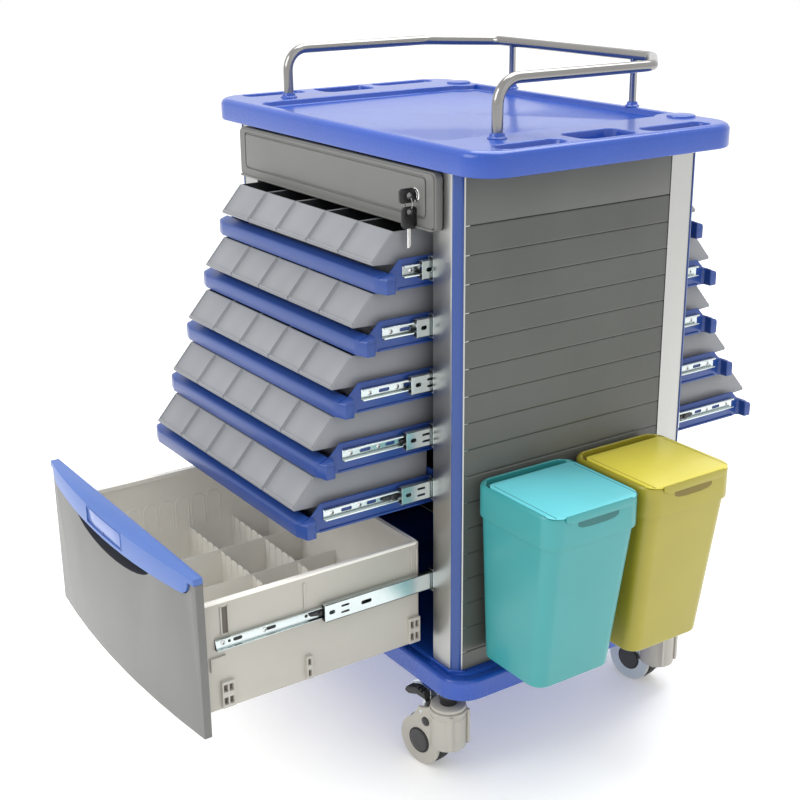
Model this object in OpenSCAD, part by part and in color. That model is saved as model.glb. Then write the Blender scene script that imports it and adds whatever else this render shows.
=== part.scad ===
// Double-sided medication cart: a four-column cabinet with five pull-out bin
// trays on the front and five on the back, two drawers, two waste bins and
// four swivel casters. +Z is up, the front faces -Y, and the origin is on the
// floor under the middle of the cabinet. Millimetres.

/* [Cabinet] */
// Half of the width over the four columns
half_w = 305; // [295:1:315]
// Half of the depth over the four columns
half_d = 224; // [220:1:228]
// Height of the base's top, which the columns stand on
floor_z = 177; // [175:1:178]
// Thickness of the base moulding
base_h = 36; // [30:1:38]
// Height of the underside of the top board
board_z = 925; // [925:1:930]
// Thickness of the top board
board_h = 35; // [28:1:40]
// Width of the top board
board_w = 750; // [740:1:760]
// Depth of the top board
board_d = 476; // [470:1:484]
// Height of one slat of the side panels
slat_pitch = 40.3; // [38:0.1:41]

/* [Guard rail] */
// Outside diameter of the rail tube
rail_d = 16; // [14:1:19]
// Height of the rail's centre line above the floor
rail_z = 1038; // [1030:1:1050]

/* [Trays] */
// Height difference from one tray to the next
tray_pitch = 82.1; // [82:0.1:83]
// Height of the top edge of the uppermost row of bins
tray_top_z = 838; // [836:0.5:838.5]
// How far each front tray is pulled out, from the top tray down
front_out = [60, 94, 130, 163, 196];
// How far each back tray is pulled out, from the top tray down
back_out = [65, 103, 112, 157, 209];

/* [Bottom drawer] */
// How far the bottom drawer is pulled out
drawer_out = 373; // [0:1:375]
// Height of the box of the bottom drawer
drawer_box_h = 166; // [150:1:168]

/* [Waste bins] */
// Height of the waste bins' rim above the floor
waste_z = 486; // [470:1:490]
// Width of a waste bin along the cabinet's side
waste_w = 170; // [160:1:172]
// Depth of a waste bin, away from the cabinet
waste_d = 172; // [160:1:180]

/* [Casters] */
// Radius of the wheels
wheel_r = 41; // [40:0.5:42]
// Distance from the swivel axis back to the wheel's axle
trail = 42; // [38:1:44]
// Turn of each caster about its swivel axis: front right, front left, back right, back left
caster_turn = [10, 14, 10, 6];

/* [Hidden] */

$fn = 48;
blue = [0.22, 0.33, 0.72];
grey = [0.62, 0.63, 0.65];
slat_grey = [0.42, 0.43, 0.44];
silver = [0.78, 0.78, 0.76];
steel = [0.72, 0.75, 0.74];
white = [0.86, 0.85, 0.82];
caster_grey = [0.70, 0.68, 0.63];
black = [0.06, 0.06, 0.07];
teal = [0.32, 0.68, 0.68];
yellow = [0.80, 0.75, 0.27];

base_half = [335, 243];
corner_cut = 13;          // leg of the columns' diagonal corner
face_w = 43;              // width of a column's broad face
edge_w = 5;               // width of its narrow face
wall_x = 247.6;           // inner face of the cabinet's inner walls
flange_x = 232;           // outer face of the trays' and boxes' sides
slide_h = 35;             // height of an outer slide member
slide_len = 205;
bin_row_half = 221.5;     // half of the width of a row of five bins
tray_depth = 196;         // from a bin's top front edge to the tray's back
closed_y = -210;          // a closed tray's bin edge
slide_drop = 53.6;        // from a bin's top edge down to the slide's middle
shelf_z = 400;            // underside of the shelf over the bottom drawer
top_drawer_z = [842, 922];
drawer_z = [184, 427];
drawer_slide_z = 308;
drawer_box_z = 205;
caster_at = [283, 219];
caster_names = ["front_right", "front_left", "back_right", "back_left"];
panel_y = [-half_d + corner_cut + edge_w, half_d - corner_cut - face_w];

// Points of an arc about c, from angle a to b
function arc(c, r, a, b, n) =
    [for (i = [0:n]) c + r * [cos(a + (b - a) * i / n), sin(a + (b - a) * i / n)]];
// A rectangle of half sizes h with rounded corners
function round_box(h, r, n = 8) = concat(
    arc([h[0] - r, -h[1] + r], r, -90, 0, n), arc([h[0] - r, h[1] - r], r, 0, 90, n),
    arc([-h[0] + r, h[1] - r], r, 90, 180, n), arc([-h[0] + r, -h[1] + r], r, 180, 270, n));

// A slab of a rounded rectangle from z0 to z1
module slab(h, r, z0, z1, n = 8) {
    translate([0, 0, z0]) linear_extrude(z1 - z0) polygon(round_box(h, r, n));
}
// A box given by its lowest and highest corners
module block(lo, hi) {
    translate(lo) cube(hi - lo);
}
// An outline in the YZ plane, drawn as [y, z] points, extruded from x0 to x1
module yz_prism(points, x0, x1) {
    translate([x0, 0, 0]) rotate([90, 0, 90]) linear_extrude(x1 - x0) polygon(points);
}
// An outline in the XZ plane, drawn as [x, z] points, extruded from y0 to y1
module xz_prism(points, y0, y1) {
    translate([0, y1, 0]) rotate([90, 0, 0]) linear_extrude(y1 - y0) polygon(points);
}
module both_sides() {
    children();
    mirror([1, 0, 0]) children();
}
// Places a front assembly on the back
module back_side() {
    rotate([0, 0, 180]) children();
}

// ---------- cabinet ----------

module base() color(blue) difference() {
    union() {
        slab(base_half, 46, floor_z - base_h, floor_z - 6);
        slab(base_half - [5, 5], 41, floor_z - 6, floor_z - 2);
        slab(base_half - [16, 16], 30, floor_z - 2, floor_z);
    }
    difference() {
        slab(base_half - [5, 5], 41, floor_z - base_h - 1, floor_z - 8);
        for (x = [-1, 1], y = [-1, 1])
            translate([x * caster_at[0], y * caster_at[1], floor_z - base_h])
                cylinder(r = 18, h = base_h);
        for (x = [-160, 0, 160]) block([x - 2, -250, floor_z - 30], [x + 2, 250, floor_z]);
        block([-340, -2, floor_z - 30], [340, 2, floor_z]);
    }
    for (x = [-1, 1], y = [-1, 1])
        translate([x * caster_at[0], y * caster_at[1], floor_z - base_h - 1])
            cylinder(r = 6.05, h = 27);
}

// One column's outline for the corner at [half_w, -half_d], from the corner
function column_outline() = [
    [-corner_cut - face_w, 1.5], [-corner_cut - face_w + 9, 0.2],
    [-corner_cut - 20, 0], [-corner_cut, 1], [0, corner_cut + 1],
    [0, corner_cut + edge_w], [-16, corner_cut + edge_w], [-22, 22],
    [-corner_cut - face_w, 22]];

module column_profile() {
    difference() {
        polygon(column_outline());
        polygon([[-corner_cut - face_w + 2.5, 3.5], [-corner_cut - 1, 3.5],
            [-3.5, corner_cut + 2.5], [-16, corner_cut + 2.5], [-23, 19.5],
            [-corner_cut - face_w + 2.5, 19.5]]);
    }
}
// Places a shape drawn at the front right corner, from that corner, at all four
module at_corners() {
    both_sides() {
        translate([half_w, -half_d, 0]) children();
        translate([half_w, half_d, 0]) rotate([0, 0, 90]) children();
    }
}
module columns() color(silver) at_corners()
    translate([0, 0, floor_z]) linear_extrude(board_z - floor_z) column_profile();

module column_strips() color(blue) at_corners()
    translate([0, 0, floor_z]) linear_extrude(board_z - floor_z)
        translate([-corner_cut / 2, corner_cut / 2]) rotate([0, 0, 45])
            polygon([[-7.6, -0.2], [-8.2, -1.9], [-6.8, -2.3], [6.8, -2.3],
                [8.2, -1.9], [7.6, -0.2]]);

disc_at = [277, 208];     // raised disc in each back corner of the board
module top_board() color(blue) difference() {
    union() {
        both_sides() translate([disc_at[0], disc_at[1], board_z + 5])
            cylinder(r = 21, h = board_h - 2);
        slab([board_w, board_d] / 2 - [4, 4], 46, board_z, board_z + 5);
        slab([board_w, board_d] / 2, 50, board_z + 5, board_z + board_h - 6);
        slab([board_w, board_d] / 2 - [4, 4], 46, board_z + board_h - 6, board_z + board_h);
    }
    board_recess();
    both_sides() board_side_recesses();
    slab([half_w - 75, half_d - 40], 6, board_z - 1, board_z + 12);
}
// The shallow tray in the top face, cut back around the two raised discs
module board_recess() difference() {
    slab([252, 218], 30, board_z + board_h - 9, board_z + board_h + 1);
    both_sides() translate([disc_at[0], disc_at[1], board_z]) cylinder(r = 40, h = board_h + 2);
}
module board_side_recesses() {
    for (slot = [[343, -134, 18, 56, 10], [330, -2, 30, 49, 24], [343, 130, 18, 60, 10]])
        translate([slot[0], slot[1], 0]) slab([slot[2], slot[3]], 16,
            board_z + board_h - slot[4], board_z + board_h + 1, 5);
}

rail_x = 281;
rail_front_y = -140;
rail_back_y = 229;
rail_bend = 34;           // bend radius at the front legs
rail_chamfer = [92, 88];  // run of the diagonal at the back corners

// The tube's centre line from the right foot over the bend to the back, as far as x = 0
rail_half = concat([[rail_x, rail_front_y, board_z + board_h + 0.2]],
    [for (i = [0:6]) [rail_x, rail_front_y + rail_bend * (1 - cos(i * 15)),
        rail_z - rail_bend * (1 - sin(i * 15))]],
    [for (t = [-18, 6]) [rail_x + (t > 0 ? -t : 0), rail_back_y - rail_chamfer[1] + t, rail_z]],
    [for (t = [-12, 10]) [rail_x - rail_chamfer[0] - t, rail_back_y + min(t, 0) * 0.95, rail_z]]);
rail_path = concat(rail_half, [for (i = [len(rail_half) - 1:-1:0]) [-rail_half[i][0],
    rail_half[i][1], rail_half[i][2]]]);

// A tube of diameter d along points that turn about X or Z only
module swept_tube(path, d, n = 16) {
    last = len(path) - 1;
    function along(i) = let (v = path[min(i + 1, last)] - path[max(i - 1, 0)]) v / norm(v);
    function side(i) = let (t = along(i), f = norm([t[0], t[1]]))
        f > 0.05 ? [t[1], -t[0], 0] / f : [sign(path[i][0]), 0, 0];
    rings = [for (i = [0:last], j = [0:n - 1]) let (a = 360 * j / n)
        path[i] + d / 2 * (cos(a) * side(i) + sin(a) * cross(side(i), along(i)))];
    sides = [for (i = [0:last - 1], j = [0:n - 1]) let (k = (j + 1) % n)
        [i * n + j, i * n + k, (i + 1) * n + k, (i + 1) * n + j]];
    polyhedron(rings, concat([[for (j = [n - 1:-1:0]) j]], sides,
        [[for (j = [0:n - 1]) last * n + j]]));
}
module guard_rail() color(silver) {
    swept_tube(rail_path, rail_d);
    both_sides() translate([150, rail_back_y, board_z + board_h + 0.2])
        cylinder(d = 11, h = rail_z - board_z - board_h, $fn = 12);
}
module rail_sockets() color(blue) both_sides() {
    socket(rail_x, rail_front_y, rail_d);
    socket(150, rail_back_y, 11);
}
// A flanged collar around the foot of a rail leg
module socket(x, y, d) translate([x, y, board_z + board_h + 0.1]) difference() {
    union() {
        cylinder(r = d / 2 + 5.5, h = 2.5);
        cylinder(r = d / 2 + 2.5, h = 8);
    }
    translate([0, 0, -1]) cylinder(r = d / 2 + 0.1, h = 12);
}

// Side panel: a flat header over a stack of interlocking slats
module side_slats() {
    header_z = board_z - 73;
    count = floor((header_z - floor_z) / slat_pitch);
    block([half_w - 9, panel_y[0] + 0.3, header_z + 0.5],
        [half_w - 1.5, panel_y[1] - 0.3, board_z - 0.2]);
    for (i = [0:count]) {
        top = header_z - i * slat_pitch - 0.5;
        low = max(top - slat_pitch + 1, floor_z + 0.2);
        yz_prism([[panel_y[0] + 0.3, low], [panel_y[1] - 0.3, low],
            [panel_y[1] - 0.3, top], [panel_y[0] + 0.3, top]], half_w - 8, half_w - 2);
    }
}
module side_slats_right() color(slat_grey) side_slats();
module side_slats_left() color(slat_grey) mirror([1, 0, 0]) side_slats();

// Sheet-metal walls that carry the slides, the partition between the front
// and the back trays, and the shelf over the bottom drawer
module inner_walls() color(black) {
    both_sides() {
        difference() {
            block([wall_x, -half_d + 24, floor_z + 0.2], [wall_x + 2, half_d - 24, board_z - 0.3]);
            for (z = [240, 600], y = [-110, 110])
                translate([wall_x - 1, y, z]) rotate([0, 90, 0]) cylinder(r = 9, h = 5);
        }
        for (y = [-1, 1])
            block([wall_x + 1, y * (half_d - 35) - 11, floor_z + 0.2],
                [half_w - 30, y * (half_d - 35) - 10, board_z - 0.3]);
    }
    block([-wall_x - 0.5, -1, shelf_z + 1], [wall_x + 0.5, 1, top_drawer_z[0] - 6]);
    block([-wall_x - 0.5, -half_d + 26, shelf_z], [wall_x + 0.5, half_d - 26, shelf_z + 2]);
}
// Fixed panels on the back: beside the top drawer's level and below the trays
module rear_panels() color(grey) {
    block([-half_w + 22, half_d - 12, board_z - 80], [half_w - 22, half_d - 8, board_z - 0.3]);
    block([-half_w + 22, half_d - 12, floor_z + 0.2], [half_w - 22, half_d - 8, shelf_z + 20]);
}

// ---------- slides ----------

// Channel of a slide member: web at w0, lips reaching to w1, height h
module channel(w0, w1, h, y0, y1, z) {
    s = sign(w1 - w0);
    xz_prism([[w0, z - h / 2], [w1, z - h / 2], [w1, z - h / 2 + 1.3],
        [w0 + s * 1.3, z - h / 2 + 1.3], [w0 + s * 1.3, z + h / 2 - 1.3],
        [w1, z + h / 2 - 1.3], [w1, z + h / 2], [w0, z + h / 2]], y0, y1);
}
module outer_member(y0, y1, z) channel(wall_x, 235.8, slide_h, y0, y1, z);
module mid_member(y0, y1, z) channel(244.8, 235.2, 27, y0, y1, z);
module inner_member(y0, y1, z) channel(flange_x + 0.15, 239.6, 17.3, y0, y1, z);

module slide_outer_members() color(steel) both_sides() {
    for (k = [0:4]) {
        outer_member(-222, -222 + slide_len, tray_z(k) - slide_drop);
        mirror([0, 1, 0]) outer_member(-222, -222 + slide_len, tray_z(k) - slide_drop);
    }
    outer_member(-222, 150, drawer_slide_z);
    outer_member(top_slide_y, 80, top_drawer_slide_z);
}

// ---------- trays and bins ----------

function tray_z(k) = tray_top_z - k * tray_pitch;

// Side outline of a tray's flange, from the bins' top front edge
flange_outline = [[-14, -79.5], [tray_depth, -79.5], [tray_depth, -36.5],
    [5, -36.5], [-14, -53]];
// Section of the pull bar along the front, from the same edge
lip_outline = [[-34, -79.5], [-6, -79.5], [-6, -77], [6, -75.5], [-10, -61],
    [-18, -52.5], [-31, -52.5], [-34, -55.5]];
lip_half = 225;           // half of the bar's straight length

module tray_body() {
    both_sides() {
        yz_prism(flange_outline, flange_x - 2.6, flange_x);
        inner_member(6, tray_depth, -slide_drop);
        // end of the pull bar, which covers the slide's end
        translate([0, 0, -79.5]) linear_extrude(27)
            polygon([[lip_half - 1, -34], [lip_half, -34], [247, -27], [247, -13],
                [flange_x + 3, -13], [flange_x, -6], [lip_half - 1, -6]]);
    }
    yz_prism(lip_outline, -lip_half, lip_half);
    block([-flange_x + 1, -8, -79.5], [flange_x - 1, tray_depth, -77]);
    block([-flange_x + 1, tray_depth - 2.5, -79.5], [flange_x - 1, tray_depth, -30]);
}
// Side outlines of one bin, outside and inside, from its top front edge
bin_outline = [[0, 0], [-35, -40], [-33.5, -43], [8, -45], [14, -76.5],
    [190, -76.5], [192, 0]];
bin_hollow = [[2.6, 1], [-31.5, -39], [-31, -41], [9.8, -43.2], [15.8, -74.5],
    [188, -74.5], [190, 1]];
bin_count = 5;
bin_w = 2 * bin_row_half / bin_count;

module bin_row() for (i = [0:bin_count - 1])
    translate([-bin_row_half + i * bin_w, 0, 0]) difference() {
        yz_prism(bin_outline, 0.5, bin_w - 0.5);
        yz_prism(bin_hollow, 2.3, bin_w - 2.3);
    }

module front_tray(k) color(blue)
    translate([0, closed_y - front_out[k], tray_z(k)]) tray_body();
module back_tray(k) color(blue) back_side()
    translate([0, closed_y - back_out[k], tray_z(k)]) tray_body();
module front_bins(k) color(grey)
    translate([0, closed_y - front_out[k], tray_z(k)]) bin_row();
module back_bins(k) color(grey) back_side()
    translate([0, closed_y - back_out[k], tray_z(k)]) bin_row();

// ---------- top drawer ----------

top_drawer_slide_z = 872;
top_slide_y = -196;       // front ends of its slides, behind the lock
top_drawer_y = -half_d - 1;
lock_at = [233, 888];
lock_r = 8;

// Places a shape drawn with the lock's axis up, from the front's back face
module at_lock() translate([lock_at[0], top_drawer_y, lock_at[1]]) rotate([90, 0, 0]) children();

module top_drawer_front() color(grey) difference() {
    union() {
        xz_prism([for (p = round_box([275, 40], 9, 5)) p + [0, 882]],
            top_drawer_y - 13, top_drawer_y);
        xz_prism([for (p = round_box([273, 38], 8, 5)) p + [0, 882]],
            top_drawer_y - 15, top_drawer_y - 13);
    }
    // groove around the raised panel
    difference() {
        xz_prism([for (p = round_box([256, 29], 7, 5)) p + [0, 886]],
            top_drawer_y - 16, top_drawer_y - 13.4);
        xz_prism([for (p = round_box([252.5, 25.5], 4, 5)) p + [0, 886]],
            top_drawer_y - 17, top_drawer_y - 12);
    }
    at_lock() translate([0, 0, -1]) cylinder(r = lock_r + 0.1, h = 20);
}
module top_drawer_box() color(white) {
    difference() {
        translate([0, 0, 848]) open_box([-flange_x, top_drawer_y + 0.1], [flange_x, 60], 62, 2.5);
        at_lock() translate([0, 0, -21]) cylinder(r = 17, h = 22);
    }
    both_sides() inner_member(top_slide_y + 2, 60, top_drawer_slide_z);
}
module top_drawer_mid() color(steel) both_sides()
    mid_member(top_slide_y + 1, 60, top_drawer_slide_z);
// A box with a floor at z = 0 and no lid
module open_box(lo, hi, h, t) difference() {
    block([lo[0], lo[1], 0], [hi[0], hi[1], h]);
    block([lo[0] + t, lo[1] + t, t], [hi[0] - t, hi[1] - t, h + 1]);
}

module lock_barrel() color(silver) at_lock() difference() {
    union() {
        translate([0, 0, -12]) cylinder(r = lock_r, h = 28);
        translate([0, 0, 15.2]) cylinder(r = 9.5, h = 2.3);
    }
    translate([0, 0, -13]) cylinder(r = 6.05, h = 32);
}
bow_hole = 4.2;
bow_out = 27;             // from the front's back face to the bow's hole
rim_drop = 6.9;           // from the hole's middle to the rim that carries the ring
ring_drop = 3.8;          // from that rim down to the ring's middle
ring_r = 8.5;
// The turning plug, its locking cam and the key that is in it
module lock_key() at_lock() {
    color(silver) {
        translate([0, 0, -15]) cylinder(r = 6, h = 33);
        translate([0, 0, -17]) linear_extrude(2) polygon([[-5, -5], [5, -5], [5, 15], [-5, 15]]);
        block([-1, -4, 17.9], [1, 4, bow_out - 9]);
    }
    color(black) key_bow(bow_out, [10, 9.5]);
}
// A flat key bow whose hole is at height z on the axis
module key_bow(z, half) translate([0, 0, z + 3]) rotate([0, 90, 0]) translate([0, 0, -1.75])
    difference() {
        linear_extrude(3.5) polygon(round_box([half[1] + 3, half[0]], 5, 5));
        translate([3, 0, -1]) cylinder(r = bow_hole, h = 6);
    }
// The ring that hangs on the key's rim, and the second key that hangs on the ring
module spare_key() translate([lock_at[0], top_drawer_y - bow_out, lock_at[1] - rim_drop - ring_drop]) {
    color(silver) rotate([90, 0, 0]) difference() {
        cylinder(r = ring_r + 0.7, h = 1.6, center = true);
        cylinder(r = ring_r - 0.7, h = 3, center = true);
    }
    color(black) translate([-1.75, 0, -ring_r - 2.9]) rotate([90, 0, 90]) difference() {
        translate([0, -8, 0]) linear_extrude(3.5) polygon(round_box([12, 15], 6, 5));
        translate([0, 0, -1]) cylinder(r = bow_hole, h = 6);
    }
    color(silver) yz_prism([[-3, -ring_r - 25.8], [3, -ring_r - 25.8], [3, -ring_r - 50],
        [0.5, -ring_r - 53], [-3, -ring_r - 53]], -0.9, 0.9);
}

// ---------- bottom drawer ----------

drawer_back_y = -half_d - 3 - drawer_out;   // back face of the drawer's front
front_half = 257;
plate_bow = [11.5, 16];    // thickness at the ends, and how much more in the middle
rail_bow = [14, 20];       // the same two for the handle rail on top of the plate

// The bowed front in plan: how far out it reaches at x, and its outline from the back face
function bow_y(x, bow) = -bow[0] - bow[1] * (1 - pow(x / front_half, 2));
function bow_outline(half, bow) = concat([[half, 0], [-half, 0]],
    [for (i = [0:16]) let (x = -half + 2 * half * i / 16) [x, bow_y(x, bow)]]);

recess_half = 135;         // half of the width of the finger recess
band_half = 242;           // half of the width of the rail's front band
band_back = -9.3;          // y of the band's hidden back face
module drawer_front() color(grey) translate([0, drawer_back_y, 0]) difference() {
    translate([0, 0, drawer_z[0]]) linear_extrude(drawer_z[1] - 10 - drawer_z[0])
        polygon(bow_outline(front_half, plate_bow));
    // room for the handle rail and the finger recess under it
    xz_prism(band_outline(1), -60, band_back + 0.3);
    finger_recess();
}
// The rail's front band, with rounded lower corners and a slightly sagging lower edge
function band_outline(grow) = concat(
    [[band_half + grow, drawer_z[1] + 5], [-band_half - grow, drawer_z[1] + 5]],
    arc([-band_half + 20, drawer_z[1] - 10.5], 20 + grow, 180, 270, 6),
    [for (x = [-204:34:204]) [x, drawer_z[1] - 30 - 5 * cos(x / band_half * 90) - grow]],
    arc([band_half - 20, drawer_z[1] - 10.5], 20 + grow, 270, 360, 6));
module finger_recess() xz_prism(concat([[recess_half, drawer_z[1] - 27],
    [-recess_half, drawer_z[1] - 27]], [for (i = [0:16]) [-recess_half * cos(i * 180 / 16),
        drawer_z[1] - 32 - 30 * sin(i * 180 / 16)]]), -60, band_back + 0.3);
label_half = 62;
label_z = [398, 424];
label_back = bow_y(label_half, rail_bow) + 1.8;
module drawer_handle() color(blue) translate([0, drawer_back_y, 0]) difference() {
    union() {
        translate([0, 0, drawer_z[1] - 9.8]) linear_extrude(9.8)
            polygon(bow_outline(front_half, rail_bow));
        intersection() {
            xz_prism(band_outline(0), -60, band_back);
            translate([0, 0, drawer_z[1] - 60]) linear_extrude(55)
                polygon(bow_outline(front_half, rail_bow));
        }
    }
    block([-label_half, -60, label_z[0]], [label_half, label_back, label_z[1]]);
}
// The label window set in the middle of the handle rail
module drawer_label() color([0.62, 0.70, 0.82]) translate([0, drawer_back_y, 0])
    intersection() {
        block([-label_half + 0.4, -60, label_z[0] + 0.4],
            [label_half - 0.4, label_back - 0.3, label_z[1] - 0.4]);
        linear_extrude(600) polygon(bow_outline(front_half, rail_bow - [1, 0]));
    }

box_y = [drawer_back_y + 0.2, drawer_back_y + 362];
module drawer_box() color(white) {
    translate([0, 0, drawer_box_z])
        open_box([-flange_x, box_y[0]], [flange_x, box_y[1]], drawer_box_h, 3);
    // the rim, thicker than the walls
    translate([0, 0, drawer_box_z + drawer_box_h - 8]) difference() {
        block([-flange_x + 0.5, box_y[0], 0], [flange_x - 0.5, box_y[1], 8]);
        block([-flange_x + 8, box_y[0] + 6, -1], [flange_x - 8, box_y[1] - 6, 9]);
    }
    both_sides() {
        inner_member(box_y[0] + 23, box_y[1] - 5, drawer_slide_z);
        yz_prism([[box_y[0] + 14, 268], [box_y[0] + 14, 289], [box_y[0] + 38, 289]],
            flange_x - 0.5, flange_x + 4);
        for (clip = [[28, 20, 41], [163, 10, 37], [341, 20, 42]])
            clip_block(box_y[0] + clip[0], clip[1], clip[2]);
    }
}
// A hollow mounting block on the box's side, with a window above and below
module clip_block(y, w, h) difference() {
    block([flange_x - 0.5, y, drawer_box_z + 3], [flange_x + 6, y + w, drawer_box_z + 3 + h]);
    for (z = [0.12, 0.6]) block([flange_x + 1, y + 2.5, drawer_box_z + 3 + h * z],
        [flange_x + 8, y + w - 2.5, drawer_box_z + 3 + h * (z + 0.28)]);
}
divider_h = 56;
divider_y = [205, 287];     // toothed dividers, from the front's back face
module drawer_dividers() color(white) translate([0, drawer_back_y, drawer_box_z + 3.1]) {
    for (y = divider_y) slotted_divider(y);
    for (x = [-110, -2]) plain_divider(x);
}
// A divider along X whose top is cut into teeth
module slotted_divider(y) difference() {
    block([-flange_x + 3.4, y, 0], [flange_x - 3.4, y + 2, divider_h]);
    for (i = [0:21]) translate([-221 + i * 21, y - 1, divider_h - 38]) cube([1.6, 4, 40]);
}
// A plain divider along Y, slotted to cross the toothed ones
module plain_divider(x) difference() {
    block([x, 3.8, 0.2], [x + 1.4, 358.4, divider_h + 3]);
    for (y = divider_y) block([x - 1, y - 0.3, -1], [x + 3, y + 2.3, divider_h - 20]);
}
module drawer_mid() color(steel) both_sides()
    mid_member(-222 - drawer_out / 2, 150 - drawer_out / 2, drawer_slide_z);

// ---------- casters ----------

// Places a caster drawn on its swivel axis, with its wheel trailing along -X
module at_caster(i) translate([(i % 2 == 0 ? 1 : -1) * caster_at[0],
    (i < 2 ? -1 : 1) * caster_at[1], 0]) rotate([0, 0, caster_turn[i]]) children();

plate_r = 39.5;
plate_y = [16, 21];            // inner and outer face of the side plates
pedal_at = [-trail + 3, 93];   // pivot of the brake pedal, x and z
// Side outline that joins the wheel's disc to the neck and the pedal's ear
fork_outline = [[8, 42], [26, 50], [26, 108], [-20, 108], [-30, 103], [-36, 101],
    [-44, 100], [-48, 92], [-58, 78], [-76, 62], [-70, 42], [-trail, wheel_r]];

module caster_housing() {
    color(caster_grey) difference() {
        union() {
            for (m = [0, 1]) mirror([0, m, 0]) {
                translate([-trail, plate_y[1], wheel_r]) rotate([90, 0, 0])
                    cylinder(r = plate_r, h = plate_y[1] - plate_y[0]);
                xz_prism(fork_outline, plate_y[0], plate_y[1]);
            }
            translate([0, 0, 96]) cylinder(r = 27, h = 14);
            block([-20, -20, 96], [20, 20, 108]);
            translate([0, 0, 46]) difference() {
                cylinder(r = 27.5, h = 52);
                translate([0, 0, -1]) cylinder(r = 24.5, h = 54);
                block([-40, -plate_y[0], -2], [-4, plate_y[0], 60]);
            }
        }
        translate([-trail, 0, wheel_r]) rotate([90, 0, 0])
            cylinder(r = wheel_r + 1.6, h = 30, center = true);
        translate([pedal_at[0], 0, pedal_at[1]]) rotate([90, 0, 0])
            cylinder(r = 3.05, h = 60, center = true);
    }
    color(caster_grey) translate([0, 0, 110]) cylinder(r = 25, h = 7);
    color(black) translate([0, 0, 117]) cylinder(r = 12, h = 17);
    color(silver) translate([0, 0, 134]) cylinder(r = 6, h = 29);
    color(silver) translate([-trail, 0, wheel_r]) rotate([90, 0, 0])
        cylinder(r = 4, h = 2 * plate_y[1], center = true);
    color(black) for (s = [-1, 1]) {
        translate([-trail, s * (plate_y[1] + 1), wheel_r]) rotate([90, 0, 0])
            cylinder(r = 18, h = 2, center = true);
        translate([-trail + 14, s * (plate_y[1] + 1), wheel_r + 39]) rotate([90, 0, 0])
            cylinder(r = 6.5, h = 2, center = true);
    }
}
module wheel() color(black) translate([-trail, 0, wheel_r]) rotate([90, 0, 0])
    rotate_extrude() polygon([[4.05, -14.5], [12, -14.5], [12, -11], [30, -11], [30, -13.5],
        [wheel_r - 5, -14], [wheel_r - 1.5, -11.5], [wheel_r, -6], [wheel_r, 6],
        [wheel_r - 1.5, 11.5], [wheel_r - 5, 14], [30, 13.5], [30, 11], [12, 11],
        [12, 14.5], [4.05, 14.5]]);
module brake_pedal() {
    color(steel) {
        translate([pedal_at[0], 0, pedal_at[1]]) rotate([90, 0, 0])
            cylinder(r = 3, h = 2 * plate_y[1], center = true);
        xz_prism([[pedal_at[0] - 3, 90], [pedal_at[0] + 3, 90], [pedal_at[0] + 2, 105],
            [pedal_at[0] - 6, 118], [pedal_at[0] - 10, 118], [pedal_at[0] - 5, 104]], -11, 11);
    }
    color(black) xz_prism([[pedal_at[0] + 8, 116], [pedal_at[0] + 6, 124],
        [pedal_at[0] - 12, 128], [pedal_at[0] - 33, 122], [pedal_at[0] - 36, 115],
        [pedal_at[0] - 28, 112], [pedal_at[0] - 10, 118]], -19, 19);
}

// ---------- waste bins ----------

waste_x = half_w + 6;
waste_y = [-198, -18];      // near edge of each bin
collar_h = 50;
waste_h = 282;
waste_r = 26;
skirt_half = 58;          // half of the width of the flap's skirt

// Places a waste bin drawn with its back at x = 0 and its middle at y = 0
module at_waste(i) translate([waste_x, waste_y[i] + waste_w / 2, waste_z]) children();
function waste_outline(grow, r) = [for (p = round_box([waste_d, waste_w] / 2 + [grow, grow], r))
    p + [waste_d / 2, 0]];

module bin_brackets() color(silver) for (i = [0, 1]) at_waste(i) {
    block([-7.9, -30, -46], [-6.4, 30, -8]);
    for (y = [-24, 24]) block([-7, y - 5, -46], [-0.4, y + 5, -43.5]);
    for (y = [-24, 24]) block([-1.6, y - 5, -46], [-0.4, y + 5, -30]);
}
// The tapering body: narrow at the floor, wide where it goes into the collar
module waste_bin(i, tint) color(tint) at_waste(i) loft([
    waste_ring(-waste_h, waste_d - 30, waste_w / 2 - 18, 0),
    waste_ring(-collar_h + 6, waste_d - 4, waste_w / 2 - 4, 0),
    waste_ring(-collar_h + 6, waste_d - 4, waste_w / 2 - 4, 2.4),
    waste_ring(-waste_h + 3, waste_d - 30, waste_w / 2 - 18, 2.4)]);
// A ring of the body at height z, reaching from x = 4 to x1 and to y = +-y1, less inset
function waste_ring(z, x1, y1, inset) =
    [for (p = round_box([(x1 - 4) / 2 - inset, y1 - inset], waste_r - 4 - inset, 6))
        [p[0] + (x1 + 4) / 2, p[1], z]];
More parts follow.
